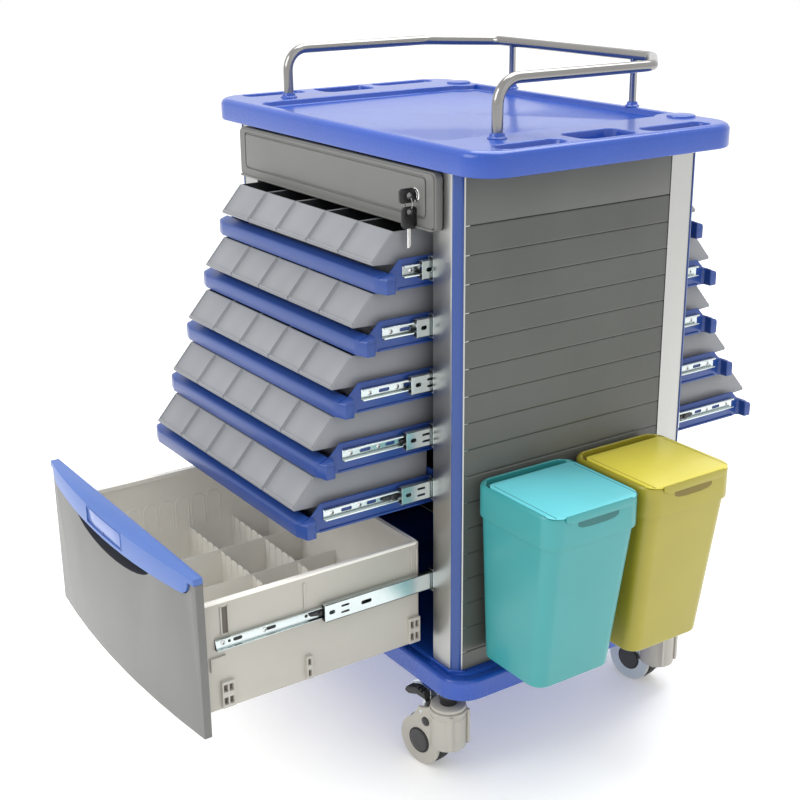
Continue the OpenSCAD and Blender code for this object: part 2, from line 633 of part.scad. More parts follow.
// A solid through a list of rings with equally many points, closed at both ends
module loft(rings) {
    n = len(rings[0]);
    last = len(rings) - 1;
    polyhedron([for (ring = rings) each ring], concat([[for (j = [0:n - 1]) j]],
        [for (i = [0:last - 1], j = [0:n - 1]) let (k = (j + 1) % n)
            [i * n + j, (i + 1) * n + j, (i + 1) * n + k, i * n + k]],
        [[for (j = [n - 1:-1:0]) last * n + j]]));
}
module waste_collar(i, tint) color(tint) at_waste(i) difference() {
    translate([0, 0, -collar_h]) linear_extrude(collar_h) polygon(waste_outline(0, waste_r));
    translate([0, 0, -collar_h - 1]) linear_extrude(7.2) polygon(waste_outline(-3.2, waste_r - 3));
    translate([0, 0, -collar_h + 6]) linear_extrude(collar_h) polygon(waste_outline(-8, waste_r - 8));
    // seat for the flap, the hinge and the grip slot in the front
    block([17.4, -waste_w / 2 + 5, -3.6], [waste_d + 1, waste_w / 2 - 5, 1]);
    block([18, -waste_w / 2 + 8, -8], [26, waste_w / 2 - 8, 1]);
    block([waste_d - 12, -37, -24.5], [waste_d + 1, 37, -12.6]);
}
module waste_flap(i, tint) color(tint) at_waste(i) {
    intersection() {
        translate([0, 0, -3.2]) linear_extrude(3.2) polygon(waste_outline(-0.4, waste_r));
        block([24, -waste_w / 2 + 5.5, -10], [waste_d, waste_w / 2 - 5.5, 10]);
    }
    translate([22, 0, -4]) rotate([90, 0, 0]) cylinder(r = 2.4, h = waste_w - 20, center = true);
    block([22, -waste_w / 2 + 12, -5], [27, waste_w / 2 - 12, -2]);
    // the skirt that comes down over the front edge
    block([waste_d - 1, -skirt_half, -3.2], [waste_d + 2.6, skirt_half, 0]);
    block([waste_d + 0.3, -skirt_half, -13], [waste_d + 2.6, skirt_half, -1]);
}

// ---------- assembly ----------

base();
columns();
column_strips();
top_board();
guard_rail();
rail_sockets();
side_slats_right();
side_slats_left();
inner_walls();
rear_panels();
slide_outer_members();
bin_brackets();
top_drawer_front();
top_drawer_box();
top_drawer_mid();
lock_barrel();
lock_key();
spare_key();
for (k = [0:4]) {
    front_tray(k);
    back_tray(k);
    front_bins(k);
    back_bins(k);
}
drawer_front();
drawer_handle();
drawer_label();
drawer_box();
drawer_dividers();
drawer_mid();
for (i = [0:3]) {
    at_caster(i) caster_housing();
    at_caster(i) wheel();
}
at_caster(0) brake_pedal();  // brake_pedal_right
at_caster(1) brake_pedal();  // brake_pedal_left
waste_bin(0, teal);  // waste_bin_front
waste_bin(1, yellow);  // waste_bin_back
waste_collar(0, teal);  // waste_collar_front
waste_collar(1, yellow);  // waste_collar_back
waste_flap(0, teal);  // waste_flap_front
waste_flap(1, yellow);  // waste_flap_back
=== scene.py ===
"""Looks of the medication cart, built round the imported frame. Lengths are in millimetres, which a Piece turns
into the frame's metres; only those of the camera, the lights and the floor are in metres. +Z is up and the
cart's front faces -Y. The points of a section stand as plain numbers where it is drawn."""
from math import acos, asin, cos, degrees, hypot, pi, radians, sin, tan

import bmesh
import bpy
from mathutils import Matrix, Vector


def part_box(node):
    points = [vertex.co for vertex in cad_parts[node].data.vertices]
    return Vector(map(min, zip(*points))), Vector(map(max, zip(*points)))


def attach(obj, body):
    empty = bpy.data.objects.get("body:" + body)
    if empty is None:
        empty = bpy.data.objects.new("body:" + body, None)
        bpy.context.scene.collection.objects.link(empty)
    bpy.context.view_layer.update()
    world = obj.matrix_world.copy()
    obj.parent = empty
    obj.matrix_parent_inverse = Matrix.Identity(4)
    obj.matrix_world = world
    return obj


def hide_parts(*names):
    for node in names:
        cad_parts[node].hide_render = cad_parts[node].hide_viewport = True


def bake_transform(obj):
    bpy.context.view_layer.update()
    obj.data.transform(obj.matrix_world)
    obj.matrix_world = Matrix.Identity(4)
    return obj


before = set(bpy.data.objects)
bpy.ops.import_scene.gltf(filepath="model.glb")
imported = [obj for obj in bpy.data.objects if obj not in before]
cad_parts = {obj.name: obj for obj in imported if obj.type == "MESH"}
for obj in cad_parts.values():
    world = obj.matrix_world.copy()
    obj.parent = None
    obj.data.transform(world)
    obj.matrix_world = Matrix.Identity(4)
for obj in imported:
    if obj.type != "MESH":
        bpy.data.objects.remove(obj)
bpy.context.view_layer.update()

MM = 0.001
ACROSS, ALONG, UP = (1, 0, 0), (0, 1, 0), (0, 0, 1)
scene = bpy.context.scene


def node_box(node):
    low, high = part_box(node)
    return low / MM, high / MM


# ---- camera, light and floor

AZIMUTH, ELEVATION, ROLL = radians(56), radians(19.4), radians(-0.5)
CAMERA_AT = Vector((1.7478, -1.2908, 1.2427))
LENS, SENSOR = 61.79, 36
FLOOR_HALF = 14


def add_camera():
    back = Vector((sin(AZIMUTH) * cos(ELEVATION), -cos(AZIMUTH) * cos(ELEVATION),
                   sin(ELEVATION)))
    right = Vector((cos(AZIMUTH), sin(AZIMUTH), 0))
    up = back.cross(right)
    image_x = right * cos(ROLL) + up * sin(ROLL)
    image_y = up * cos(ROLL) - right * sin(ROLL)
    camera = bpy.data.cameras.new("camera")
    camera.lens, camera.sensor_width = LENS, SENSOR
    obj = bpy.data.objects.new("camera", camera)
    scene.collection.objects.link(obj)
    obj.matrix_world = Matrix.Translation(CAMERA_AT) @ Matrix((image_x, image_y, back)).transposed().to_4x4()
    scene.camera = obj


def add_area_light(name, place, target, size, watts):
    light = bpy.data.lights.new(name, "AREA")
    light.energy, light.size = watts, size
    obj = bpy.data.objects.new(name, light)
    scene.collection.objects.link(obj)
    obj.location = place
    obj.rotation_euler = (Vector(target) - Vector(place)).to_track_quat("-Z", "Y").to_euler()


def add_studio():
    world = bpy.data.worlds.new("studio")
    world.use_nodes = True
    background = world.node_tree.nodes["Background"]
    background.inputs["Color"].default_value = (1, 1, 1, 1)
    background.inputs["Strength"].default_value = 1
    scene.world = world
    add_area_light("key", (-0.5, -3.2, 2.6), (0, 0, 0.6), 2.2, 50)
    add_area_light("side", (3.4, 0.6, 2), (0, 0, 0.5), 2, 4)
    add_area_light("top", (-0.4, 0.8, 3.4), (0, 0, 0.9), 2.6, 85)
    mesh = bpy.data.meshes.new("floor")
    corners = [(x * FLOOR_HALF, y * FLOOR_HALF, 0) for x, y in ((-1, -1), (1, -1), (1, 1), (-1, 1))]
    mesh.from_pydata(corners, [], [(0, 1, 2, 3)])
    floor = bpy.data.objects.new("floor", mesh)
    scene.collection.objects.link(floor)
    ground = plastic("studio_floor", (0.93, 0.93, 0.93), 0.6, 0.02, 0.02)
    glow = ground.node_tree.nodes["Principled BSDF"]
    glow.inputs["Emission Color"].default_value = (1, 1, 1, 1)
    glow.inputs["Emission Strength"].default_value = 0.2
    mesh.materials.append(ground)
    scene.view_settings.view_transform = "Standard"
    scene.view_settings.exposure = 0


# ---- materials

NOISE_LOW, NOISE_HIGH = 0.3, 0.7   # the range that most of a noise's values lie in
BROAD_SCALE = 7                  # drifts of tone per metre
GRAIN_HEIGHT = 0.0004              # metres


def node(tree, kind, **values):
    n = tree.nodes.new(kind)
    for key, value in values.items():
        n.inputs[key].default_value = value
    return n


def noise_texture(tree, scale, stretch):
    """Noise over the object's own coordinates, in metres, so its grain keeps a real size."""
    place = node(tree, "ShaderNodeTexCoord")
    mapping = node(tree, "ShaderNodeMapping", Scale=stretch)
    tree.links.new(place.outputs["Object"], mapping.inputs["Vector"])
    texture = node(tree, "ShaderNodeTexNoise", Scale=scale, Detail=3)
    tree.links.new(mapping.outputs["Vector"], texture.inputs["Vector"])
    return texture.outputs["Fac"]


def spread(tree, value, low, high):
    """Maps a noise value to the range from low to high."""
    n = node(tree, "ShaderNodeMapRange",
             **{"From Min": NOISE_LOW, "From Max": NOISE_HIGH, "To Min": low, "To Max": high})
    tree.links.new(value, n.inputs["Value"])
    return n.outputs["Result"]


def tinted(tree, value, dark, light):
    """Maps a noise value to the colours from dark to light."""
    ramp = node(tree, "ShaderNodeValToRGB")
    for element, at, colour in zip(ramp.color_ramp.elements, (NOISE_LOW, NOISE_HIGH), (dark, light)):
        element.position, element.color = at, (*colour, 1)
    tree.links.new(value, ramp.inputs["Fac"])
    return ramp.outputs["Color"]


def surface(name, colour, roughness, metallic, tone, grain, grain_size, stretch=(1, 1, 1), coat=0):
    """A shader whose colour and roughness drift over the surface by the share of tone, and whose bump has a
    grain of the given strength and size."""
    mat = bpy.data.materials.new(name)
    mat.use_nodes = True
    tree = mat.node_tree
    shader = tree.nodes["Principled BSDF"]
    broad = noise_texture(tree, BROAD_SCALE, stretch)
    fine = noise_texture(tree, 1 / (grain_size * MM), stretch)
    dark = tuple(c * (1 - tone) for c in colour)
    light = tuple(min(1, c * (1 + tone)) for c in colour)
    tree.links.new(tinted(tree, broad, dark, light), shader.inputs["Base Color"])
    tree.links.new(spread(tree, fine, roughness * 0.86, min(1, roughness * 1.14)), shader.inputs["Roughness"])
    bump = node(tree, "ShaderNodeBump", Strength=grain, Distance=GRAIN_HEIGHT)
    tree.links.new(fine, bump.inputs["Height"])
    tree.links.new(bump.outputs["Normal"], shader.inputs["Normal"])
    shader.inputs["Metallic"].default_value = metallic
    shader.inputs["Coat Weight"].default_value = coat
    shader.inputs["Coat Roughness"].default_value = 0.08
    return mat


def plastic(name, colour, roughness, grain, tone, coat=0):
    return surface(name, colour, roughness, 0, tone, grain, 0.8, coat=coat)


def metal(name, colour, roughness, grain, tone, stretch=(1, 1, 1)):
    return surface(name, colour, roughness, 1, tone, grain, 1.4, stretch)


# name, colour, roughness, grain, tone
BLUE = plastic("moulded_blue", (0.011, 0.064, 0.37), 0.26, 0.05, 0.05, coat=0.25)
BLUE_LIP = plastic("tray_blue", (0.014, 0.052, 0.24), 0.34, 0.08, 0.05, coat=0.06)
STRIP_BLUE = plastic("strip_blue", (0.02, 0.06, 0.24), 0.32, 0.06, 0.06, coat=0.08)
HANDLE_BLUE = plastic("handle_blue", (0.055, 0.13, 0.4), 0.38, 0.08, 0.05)
BIN_GREY = plastic("bin_grey", (0.225, 0.233, 0.25), 0.42, 0.16, 0.05)
# near black for the insides of the bins: painted shade
BIN_INSIDE_SHADE = plastic("bin_inside_painted_shade", (0.035, 0.037, 0.04), 0.38, 0.1, 0.15)
PANEL_GREY = plastic("panel_grey", (0.142, 0.142, 0.135), 0.42, 0.14, 0.05)
SLAT_GREY = plastic("slat_grey", (0.088, 0.092, 0.082), 0.32, 0.1, 0.08, coat=0.1)
SILVER = metal("anodised", (0.46, 0.46, 0.445), 0.34, 0.1, 0.04, (1, 1, 0.03))
STEEL = metal("bright_tube", (0.3, 0.295, 0.285), 0.17, 0.03, 0.05)
ZINC = metal("zinc_plate", (0.62, 0.68, 0.68), 0.24, 0.08, 0.08)
BLACK = plastic("matt_black", (0.012, 0.012, 0.013), 0.55, 0.12, 0.2)
RETAINER = plastic("retainer_black", (0.018, 0.018, 0.02), 0.35, 0.1, 0.2)
KEY_BLACK = plastic("key_black", (0.006, 0.006, 0.007), 0.32, 0.08, 0.2)
# the drawer boxes' white in two copies: the lighter one is painted light, the darker one for the sides' outward
# faces is painted shade
WHITE_LIT = plastic("box_white", (0.9, 0.875, 0.81), 0.4, 0.1, 0.03)
WHITE_SHADE = plastic("box_side_painted_shade", (0.46, 0.44, 0.39), 0.4, 0.1, 0.04)
CASTER = plastic("caster_grey", (0.43, 0.41, 0.365), 0.42, 0.12, 0.05)
TYRE = plastic("tyre", (0.016, 0.016, 0.016), 0.6, 0.3, 0.2)
RUBBER = plastic("ridged_rubber", (0.02, 0.02, 0.021), 0.48, 0.3, 0.2)
CHROME = metal("chrome", (0.8, 0.8, 0.79), 0.1, 0.02, 0.04)
WINDOW = plastic("label_window", (0.11, 0.18, 0.45), 0.24, 0.03, 0.04, coat=0.25)
TEAL = plastic("bin_teal", (0.035, 0.285, 0.29), 0.34, 0.1, 0.04, coat=0.12)
YELLOW = plastic("bin_yellow", (0.33, 0.285, 0.022), 0.34, 0.1, 0.04, coat=0.12)
# lighter copies of the bins' colours for the flaps' upward-facing tops: painted light
TEAL_LID_LIT = plastic("lid_teal_painted_light", (0.15, 0.62, 0.68), 0.34, 0.1, 0.04, coat=0.12)
YELLOW_LID_LIT = plastic("lid_yellow_painted_light", (0.68, 0.6, 0.068), 0.34, 0.1, 0.04, coat=0.12)
# darker copies of the waste bins' colours for their slots, grooves and hinges: painted shade
TEAL_SHADE = plastic("groove_teal_painted_shade", (0.015, 0.13, 0.13), 0.5, 0.1, 0.08)
YELLOW_SHADE = plastic("groove_yellow_painted_shade", (0.17, 0.13, 0.012), 0.5, 0.1, 0.08)
HUBCAP = plastic("hub_cap", (0.04, 0.04, 0.042), 0.42, 0.4, 0.35)
BROWN = plastic("clip_window", (0.1, 0.085, 0.07), 0.5, 0.1, 0.1)
# dark grey for the drawer front's finger recess: painted shade
RECESS_SHADE = plastic("recess_painted_shade", (0.05, 0.05, 0.052), 0.5, 0.1, 0.15)


# ---- mesh building

def arc(centre, radius, start, end, steps):
    """Points of an arc, from start to end in degrees."""
    angles = [radians(start + (end - start) * i / steps) for i in range(steps + 1)]
    return [(centre[0] + radius * cos(a), centre[1] + radius * sin(a)) for a in angles]


def rounded(half_x, half_y, radius, steps, centre=(0, 0)):
    """Points of a rectangle with round corners, counterclockwise from its lower right one."""
    cx, cy = centre
    radius = min(radius, half_x - 0.01, half_y - 0.01)
    x, y = half_x - radius, half_y - radius
    return (arc((cx + x, cy - y), radius, -90, 0, steps) + arc((cx + x, cy + y), radius, 0, 90, steps)
            + arc((cx - x, cy + y), radius, 90, 180, steps) + arc((cx - x, cy - y), radius, 180, 270, steps))


def crown(radius, top, step=15):
    """A section's inset and height where it rounds from its side to its top."""
    return [(radius * (1 - cos(a)), top - radius * (1 - sin(a)))
            for a in map(radians, range(0, 91, step))]


# How a prism's flat outline (u, v) and its depth w lie in the row frame
PLANES = {"xy": lambda u, v, w: (u, v, w), "yz": lambda u, v, w: (w, u, v), "xz": lambda u, v, w: (u, w, v)}


def bevel_sharp(mesh, edges, offset, segments, angle):
    """Rounds those edges whose two faces meet at more than angle."""
    sharp = [e for e in edges if len(e.link_faces) == 2 and e.calc_face_angle(0) > radians(angle)]
    bmesh.ops.bevel(mesh, geom=sharp, offset=offset * MM, segments=segments, profile=0.5, affect="EDGES",
                    clamp_overlap=True, material=-1)


class Piece:
    """Collects solids, in millimetres, into one object. Each solid has its own material."""

    def __init__(self, name):
        self.name, self.mesh, self.materials = name, bmesh.new(), []
        self.shift = Vector()
        self.turn = Matrix.Identity(3)

    def slot(self, material):
        if material not in self.materials:
            self.materials.append(material)
        return self.materials.index(material)

    def vertex(self, point):
        return self.mesh.verts.new((self.turn @ Vector(point) + self.shift) * MM)

    def close(self, faces, material, bevel, segments):
        """Gives new faces their material, and rounds the edges of more than 25 degrees between them."""
        index = self.slot(material)
        for face in faces:
            face.material_index = index
        bmesh.ops.recalc_face_normals(self.mesh, faces=faces)
        if bevel:
            bevel_sharp(self.mesh, {e for f in faces for e in f.edges}, bevel, segments, 25)

    def prism(self, outline, plane, low, high, material, bevel=0.4, segments=2):
        """Raises a flat outline from depth low to depth high."""
        place = PLANES[plane]
        bottom = [self.vertex(place(u, v, low)) for u, v in outline]
        top = [self.vertex(place(u, v, high)) for u, v in outline]
        count = len(outline)
        faces = [self.mesh.faces.new(bottom), self.mesh.faces.new(top[::-1])]
        for i in range(count):
            j = (i + 1) % count
            faces.append(self.mesh.faces.new((bottom[i], top[i], top[j], bottom[j])))
        self.close(faces, material, bevel, segments)

    def block(self, low, high, material, bevel=0.4, segments=2):
        outline = [(low[0], low[1]), (high[0], low[1]), (high[0], high[1]), (low[0], high[1])]
        self.prism(outline, "xy", low[2], high[2], material, bevel, segments)

    def loft(self, rings, material, caps=(True, True), bevel=0, segments=2):
        """Skins rings of equal length; each ring is a list of 3-D points."""
        rows = [[self.vertex(p) for p in ring] for ring in rings]
        count = len(rows[0])
        faces = []
        for a, b in zip(rows, rows[1:]):
            for i in range(count):
                j = (i + 1) % count
                faces.append(self.mesh.faces.new((a[i], a[j], b[j], b[i])))
        if caps[0]:
            faces.append(self.mesh.faces.new(rows[0][::-1]))
        if caps[1]:
            faces.append(self.mesh.faces.new(rows[-1]))
        self.close(faces, material, bevel, segments)

    def lathe(self, profile, centre, axis, material, steps=48):
        """Turns a profile of (distance along the axis, radius) about an axis through centre."""
        axis = Vector(axis).normalized()
        side = axis.orthogonal().normalized()
        other = axis.cross(side)
        angles = [2 * pi * i / steps for i in range(steps)]
        spokes = [side * cos(a) + other * sin(a) for a in angles]
        self.loft([[Vector(centre) + axis * along + spoke * radius for spoke in spokes]
                   for along, radius in profile], material)

    def tube(self, path, radius, material, steps):
        """Sweeps a round section along a path of points."""
        path = [Vector(p) for p in path]
        rings = []
        side = (path[1] - path[0]).orthogonal().normalized()
        for i, point in enumerate(path):
            along = (path[min(i + 1, len(path) - 1)] - path[max(i - 1, 0)]).normalized()
            side = (side - along * side.dot(along)).normalized()
            other = along.cross(side)
            rings.append([point + (side * cos(a) + other * sin(a)) * radius
                          for a in [2 * pi * k / steps for k in range(steps)]])
        self.loft(rings, material)

    def plate(self, outline, holes, plane, low, high, material, edge=0.15):
        """A sheet with holes: outline and holes are flat rings, the sheet lies from low to high."""
        curve = bpy.data.curves.new("sheet", "CURVE")
        curve.dimensions, curve.fill_mode = "2D", "BOTH"
        curve.extrude = max(0, (high - low) / 2 - edge) * MM
        curve.bevel_depth, curve.bevel_resolution = edge * MM, 0
        curve.offset = -edge * MM
        for ring in [outline] + holes:
            spline = curve.splines.new("POLY")
            spline.points.add(len(ring) - 1)
            for point, (u, v) in zip(spline.points, ring):
                point.co = (u * MM, v * MM, 0, 1)
            spline.use_cyclic_u = True
        holder = bpy.data.objects.new("sheet", curve)
        sheet = bpy.data.meshes.new_from_object(holder)
        middle = (low + high) / 2
        place = PLANES[plane]
        for v in sheet.vertices:
            u, w, depth = v.co / MM
            v.co = (self.turn @ Vector(place(u, w, middle + depth)) + self.shift) * MM
        index = self.slot(material)
        for p in sheet.polygons:
            p.material_index = index
        start = len(self.mesh.faces)
        self.mesh.from_mesh(sheet)
        self.mesh.faces.ensure_lookup_table()
        bmesh.ops.recalc_face_normals(self.mesh, faces=self.mesh.faces[start:])
        bpy.data.objects.remove(holder)
        bpy.data.curves.remove(curve)
        bpy.data.meshes.remove(sheet)

    def finish(self, body, nodes=(), sharp=35):
        """Makes the object, which rides on body and stands for the CAD nodes."""
        data = bpy.data.meshes.new(self.name)
        self.mesh.to_mesh(data)
        self.mesh.free()
        for material in self.materials:
            data.materials.append(material)
        data.shade_smooth()
        data.set_sharp_from_angle(angle=radians(sharp))
        obj = bpy.data.objects.new(self.name, data)
        scene.collection.objects.link(obj)
        if body:
            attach(obj, body)
        if nodes:
            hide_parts(*nodes)
        return obj


def refine(name, material, body, bevel, angle=30, segments=2, extra=None, paint=None):
    """Stands a copy of a CAD node, with its facets merged and its edges rounded, in the node's place. paint
    may give a face another material by its middle and its normal, and extra draws more on the piece."""
    piece = Piece("v_" + name)
    piece.mesh.from_mesh(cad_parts[name].data)
    bmesh.ops.remove_doubles(piece.mesh, verts=piece.mesh.verts, dist=2e-6)
    bmesh.ops.dissolve_limit(piece.mesh, angle_limit=radians(1), verts=piece.mesh.verts,
                             edges=piece.mesh.edges, delimit={"NORMAL"})
    piece.slot(material)
    for face in piece.mesh.faces:
        chosen = paint and paint(face.calc_center_median() / MM, face.normal)
        face.material_index = piece.slot(chosen or material)
    bevel_sharp(piece.mesh, piece.mesh.edges, bevel, segments, angle)
    if extra:
        extra(piece)
    return piece.finish(body, [name])


add_camera()
add_studio()

# ---- cabinet

DISC_H = 3                    # how far the discs stand above the board
BOARD_LOW = node_box("top_board")[0].z
BOARD_TOP = node_box("top_board")[1].z - DISC_H
BOARD_HALF, BOARD_RIM, BOARD_LIP = (375, 238), 10, 2.5
DISC_AT, DISC_R, NOTCH_R = (277, 208), 21, 40
RECESS_HALF, RECESS_DEPTH = (252, 218), 9
# x, y, half width, half length and depth of the cups on the right
SLOTS = [(343, -134, 18, 56, 10), (330, -2, 30, 49, 24), (343, 130, 18, 60, 10)]


def recess_outline(grow):
    """The sunk area of the board, cut back round the raised disc at both back corners."""
    half_x, half_y = RECESS_HALF[0] + grow, RECESS_HALF[1] + grow
    ring = arc((half_x - 30, -half_y + 30), 30, -90, 0, 8)
    reach = NOTCH_R - grow
    from_x = degrees(acos((half_x - DISC_AT[0]) / reach))
    from_y = degrees(asin((half_y - DISC_AT[1]) / reach))
    ring += arc(DISC_AT, reach, 360 - from_x, 180 - from_y, 12)
    return ring + [(-x, y) for x, y in reversed(ring)]


def sink(piece, outline_at, depth):
    """Lines a hole in the board's top: a rounded lip, walls that slope a little, and a floor."""
    bends = [(BOARD_LIP * (1 - sin(radians(a))), BOARD_LIP * (1 - cos(radians(a))))
             for a in (0, 30, 60, 90)]
    profile = bends + [(-1.5 - drop, depth - grow) for grow, drop in bends]
    piece.loft([[(x, y, BOARD_TOP - drop) for x, y in outline_at(grow)] for grow, drop in profile], BLUE,
               caps=(False, True))


def build_board():
    piece = Piece("v_top_board")
    top, low, rim = BOARD_TOP, BOARD_LOW, BOARD_RIM
    profile = [(9, low + 1.5), (7, low), (3, low), (0.8, low + 1), (0, low + 3.5)]
    profile += crown(rim, top, 10)
    rings = [[(x, y, z) for x, y in rounded(BOARD_HALF[0] - i, BOARD_HALF[1] - i, 50 - i * 0.6, 10)]
             for i, z in profile]
    piece.loft(rings, BLUE, caps=(True, False))
    holes = [recess_outline(BOARD_LIP)]
    cups = []
    for side in (-1, 1):
        for x, y, half_x, half_y, depth in SLOTS:
            radius = min(half_x - 2, 15)

            def outline(grow, x=x * side, y=y, half_x=half_x, half_y=half_y, radius=radius):
                return rounded(half_x + grow, half_y + grow, radius + grow, 6, (x, y))
            holes.append(outline(BOARD_LIP))
            cups.append((outline, depth))
    face = rounded(BOARD_HALF[0] - rim, BOARD_HALF[1] - rim, 44, 10)
    piece.plate(face, holes, "xy", top - 0.02, top, BLUE, edge=0)
    for outline, depth in [(recess_outline, RECESS_DEPTH)] + cups:
        sink(piece, outline, depth)
    disc = [(-1, DISC_R + 1.5), (0.2, DISC_R + 0.8), (2.2, DISC_R), (2.9, DISC_R - 1.5), (DISC_H, 0.1)]
    for side in (-1, 1):
        piece.lathe(disc, (side * DISC_AT[0], DISC_AT[1], top), UP, BLUE)
    piece.finish("cabinet", ["top_board"], sharp=30)


RAIL_X, RAIL_FRONT, RAIL_BACK, RAIL_Z, RAIL_R = 281, -140, 229, 1038, 8
POST_X, POST_R = 150, 5.6


def filleted(points, radii):
    """A path through points whose corners are rounded to the given radii."""
    points = [Vector(p) for p in points]
    path = [points[0]]
    for before, corner, after, radius in zip(points, points[1:], points[2:], radii):
        a, b = (before - corner).normalized(), (after - corner).normalized()
        half = a.angle(b) / 2
        reach = radius / tan(half)
        centre = corner + (a + b).normalized() * (radius / sin(half))
        start, end = corner + a * reach - centre, corner + b * reach - centre
        turn = start.angle(end)
        for t in [i / 8 for i in range(9)]:
            swung = (start * sin((1 - t) * turn) + end * sin(t * turn)) / sin(turn)
            path.append(centre + swung)
    return path + [points[-1]]


def build_rail():
    piece = Piece("v_guard_rail")
    foot = BOARD_TOP + 0.3
    half = [(RAIL_X, RAIL_FRONT, foot), (RAIL_X, RAIL_FRONT, RAIL_Z), (RAIL_X, RAIL_BACK - 88, RAIL_Z),
            (RAIL_X - 92, RAIL_BACK, RAIL_Z)]
    route = half + [(-x, y, z) for x, y, z in reversed(half)]
    piece.tube(filleted(route, [34, 30, 30, 30, 30, 34]), RAIL_R, STEEL, 28)
    height = RAIL_Z - foot
    post = [(0, POST_R), (height - 9, POST_R), (height - 7.5, POST_R + 0.8), (height - 5, POST_R + 1)]
    for side in (-1, 1):
        piece.lathe(post, (side * POST_X, RAIL_BACK, foot), UP, STEEL)
    piece.finish("cabinet", ["guard_rail"], sharp=50)
    cups = Piece("v_rail_sockets")
    for side in (-1, 1):
        for x, y, r in ((RAIL_X, RAIL_FRONT, RAIL_R), (POST_X, RAIL_BACK, POST_R)):
            cup = [(0, r + 6), (1.2, r + 5.8), (2.4, r + 4.6), (3.2, r + 3.2), (6, r + 2.6), (7.4, r + 1.6),
                   (7.8, r + 0.3), (3, r + 0.2)]
            cups.lathe(cup, (side * x, y, foot - 0.2), UP, BLUE)
    cups.finish("cabinet", ["rail_sockets"])


HALF_W, HALF_D, FLOOR_Z, BOARD_Z = 305, 224, 177, 925   # the cabinet between base and board
CORNER, FACE_W, EDGE_W = 13, 43, 1.6                    # a column's chamfer and its two faces
CASTER_AT = (283, 219)


def at_corners():
    """Turn and shift that place a column drawn at the front right corner at all four."""
    for side in (-1, 1):
        mirror = Matrix.Diagonal((side, 1, 1))
        yield mirror, Vector((side * HALF_W, -HALF_D, 0))
        yield mirror @ Matrix.Rotation(radians(90), 3, "Z"), Vector((side * HALF_W, HALF_D, 0))


def column_section():
    """A column's outline, seen from the cabinet's front right corner: a crowned broad face, a flat for the
    strip, and a narrow edge, each with a small step where the next begins."""
    face = [(-CORNER - FACE_W + FACE_W * t, 1.6 - 1.8 * sin(pi * (0.12 + 0.8 * t)))
            for t in [i / 10 for i in range(11)]]
    return (face + [(-CORNER + 0.6, 1.4), (-CORNER + 0.9, 2.2), (-2.2, CORNER - 0.9), (-1.4, CORNER - 0.6),
                    (-0.3, CORNER + 0.6), (0, CORNER + 1.4), (0, CORNER + EDGE_W), (-3.2, CORNER + EDGE_W),
                    (-3.2, 24), (-22, 24), (-CORNER - FACE_W, 22)])


def build_columns():
    piece = Piece("v_columns")
    strips = Piece("v_column_strips")
    bulge = [(-7.6, 0.6), (-8, -0.6), (-7, -1.7), (-4, -2.2), (0, -2.4), (4, -2.2), (7, -1.7), (8, -0.6),
             (7.6, 0.6)]
    c = cos(radians(45))
    strip = [(-CORNER / 2 + (x - y) * c, CORNER / 2 + (x + y) * c) for x, y in bulge]
    for rotation, shift in at_corners():
        for target, outline, material, low in ((piece, column_section(), SILVER, FLOOR_Z),
                                               (strips, strip, STRIP_BLUE, FLOOR_Z + 0.2)):
            target.turn, target.shift = rotation, shift
            target.prism(outline, "xy", low, BOARD_Z, material, bevel=0.25, segments=1)
    piece.finish("cabinet", ["columns"], sharp=28)
    strips.finish("cabinet", ["column_strips"], sharp=40)


BASE_HALF, BASE_H = (335, 243), 36


def build_base():
    """A moulding with an upright wall, a rounded rim and a slightly sunk deck."""
    piece = Piece("v_base")
    half, low, top = BASE_HALF, FLOOR_Z - BASE_H, FLOOR_Z
    profile = [(7, low + 14), (5, low + 1), (2, low), (0.6, low + 1), (0, low + 3)]
    profile += crown(7, top - 2)
    profile += [(13, top - 2.2), (15.5, top - 3.2), (17, top - 3.4), (19, top - 2.2), (21, top - 0.6),
                (24, top)]
    rings = [[(x, y, z) for x, y in rounded(half[0] - i, half[1] - i, 46 - i * 0.7, 10)] for i, z in profile]
    piece.loft(rings, BLUE)
    for x in (-1, 1):
        for y in (-1, 1):
            piece.lathe([(-14, 19), (-12.5, 20), (12, 21), (14, 22)],
                        (x * CASTER_AT[0], y * CASTER_AT[1], low + 13), UP, BLUE)
    # the collar that each column stands in
    for rotation, shift in at_corners():
        piece.turn, piece.shift = rotation, shift
        far, deep = -CORNER - FACE_W - 4, CORNER + EDGE_W + 3
        foot = [(far, -2.6), (-CORNER + 1, -2.6), (2.6, CORNER - 1), (2.6, deep), (-3, deep), (-3, 16),
                (-16, 3), (far, 3)]
        piece.prism(foot, "xy", top - 4, top + 3, BLUE, bevel=1.2, segments=3)
    piece.finish("cabinet", ["base"], sharp=40)


def build_side_panel(name, side):
    """Header and interlocking slats, each with a rolled lower edge and a groove over the next."""
    piece = Piece("v_" + name)
    piece.turn = Matrix.Diagonal((side, 1, 1))
    y0, y1 = -209.2, 167.5
    face = HALF_W - 2.2
    top, pitch = BOARD_Z - 73, 40.3   # the header's lower edge, and from one slat to the next
    piece.block((face - 6, y0, top + 0.6), (face + 0.6, y1, BOARD_Z - 0.3), SLAT_GREY, 0.8)
    z = top
    while z > FLOOR_Z + 2:
        low = max(z - pitch, FLOOR_Z + 0.3)
        slat = [(face - 5, low + 0.2), (face - 5, z - 2.6), (face - 2.6, z - 0.2), (face - 1.6, z - 0.4),
                (face - 0.6, z - 1.4), (face, z - 3), (face, low + 3), (face + 0.5, low + 1.6),
                (face + 0.1, low + 0.4), (face - 1.2, low + 0.1)]
        piece.prism(slat, "xz", y0, y1, SLAT_GREY, bevel=0)
        z -= pitch
    piece.finish("cabinet", [name], sharp=50)


# ---- slides

WALL_X, FLANGE_X = 247.6, 232   # the cabinet's and the tray's faces that a slide is screwed to
SHEET = 1.2


def oval(u, v, half_u, half_v):
    return rounded(half_u, half_v, half_v, 5, (u, v))


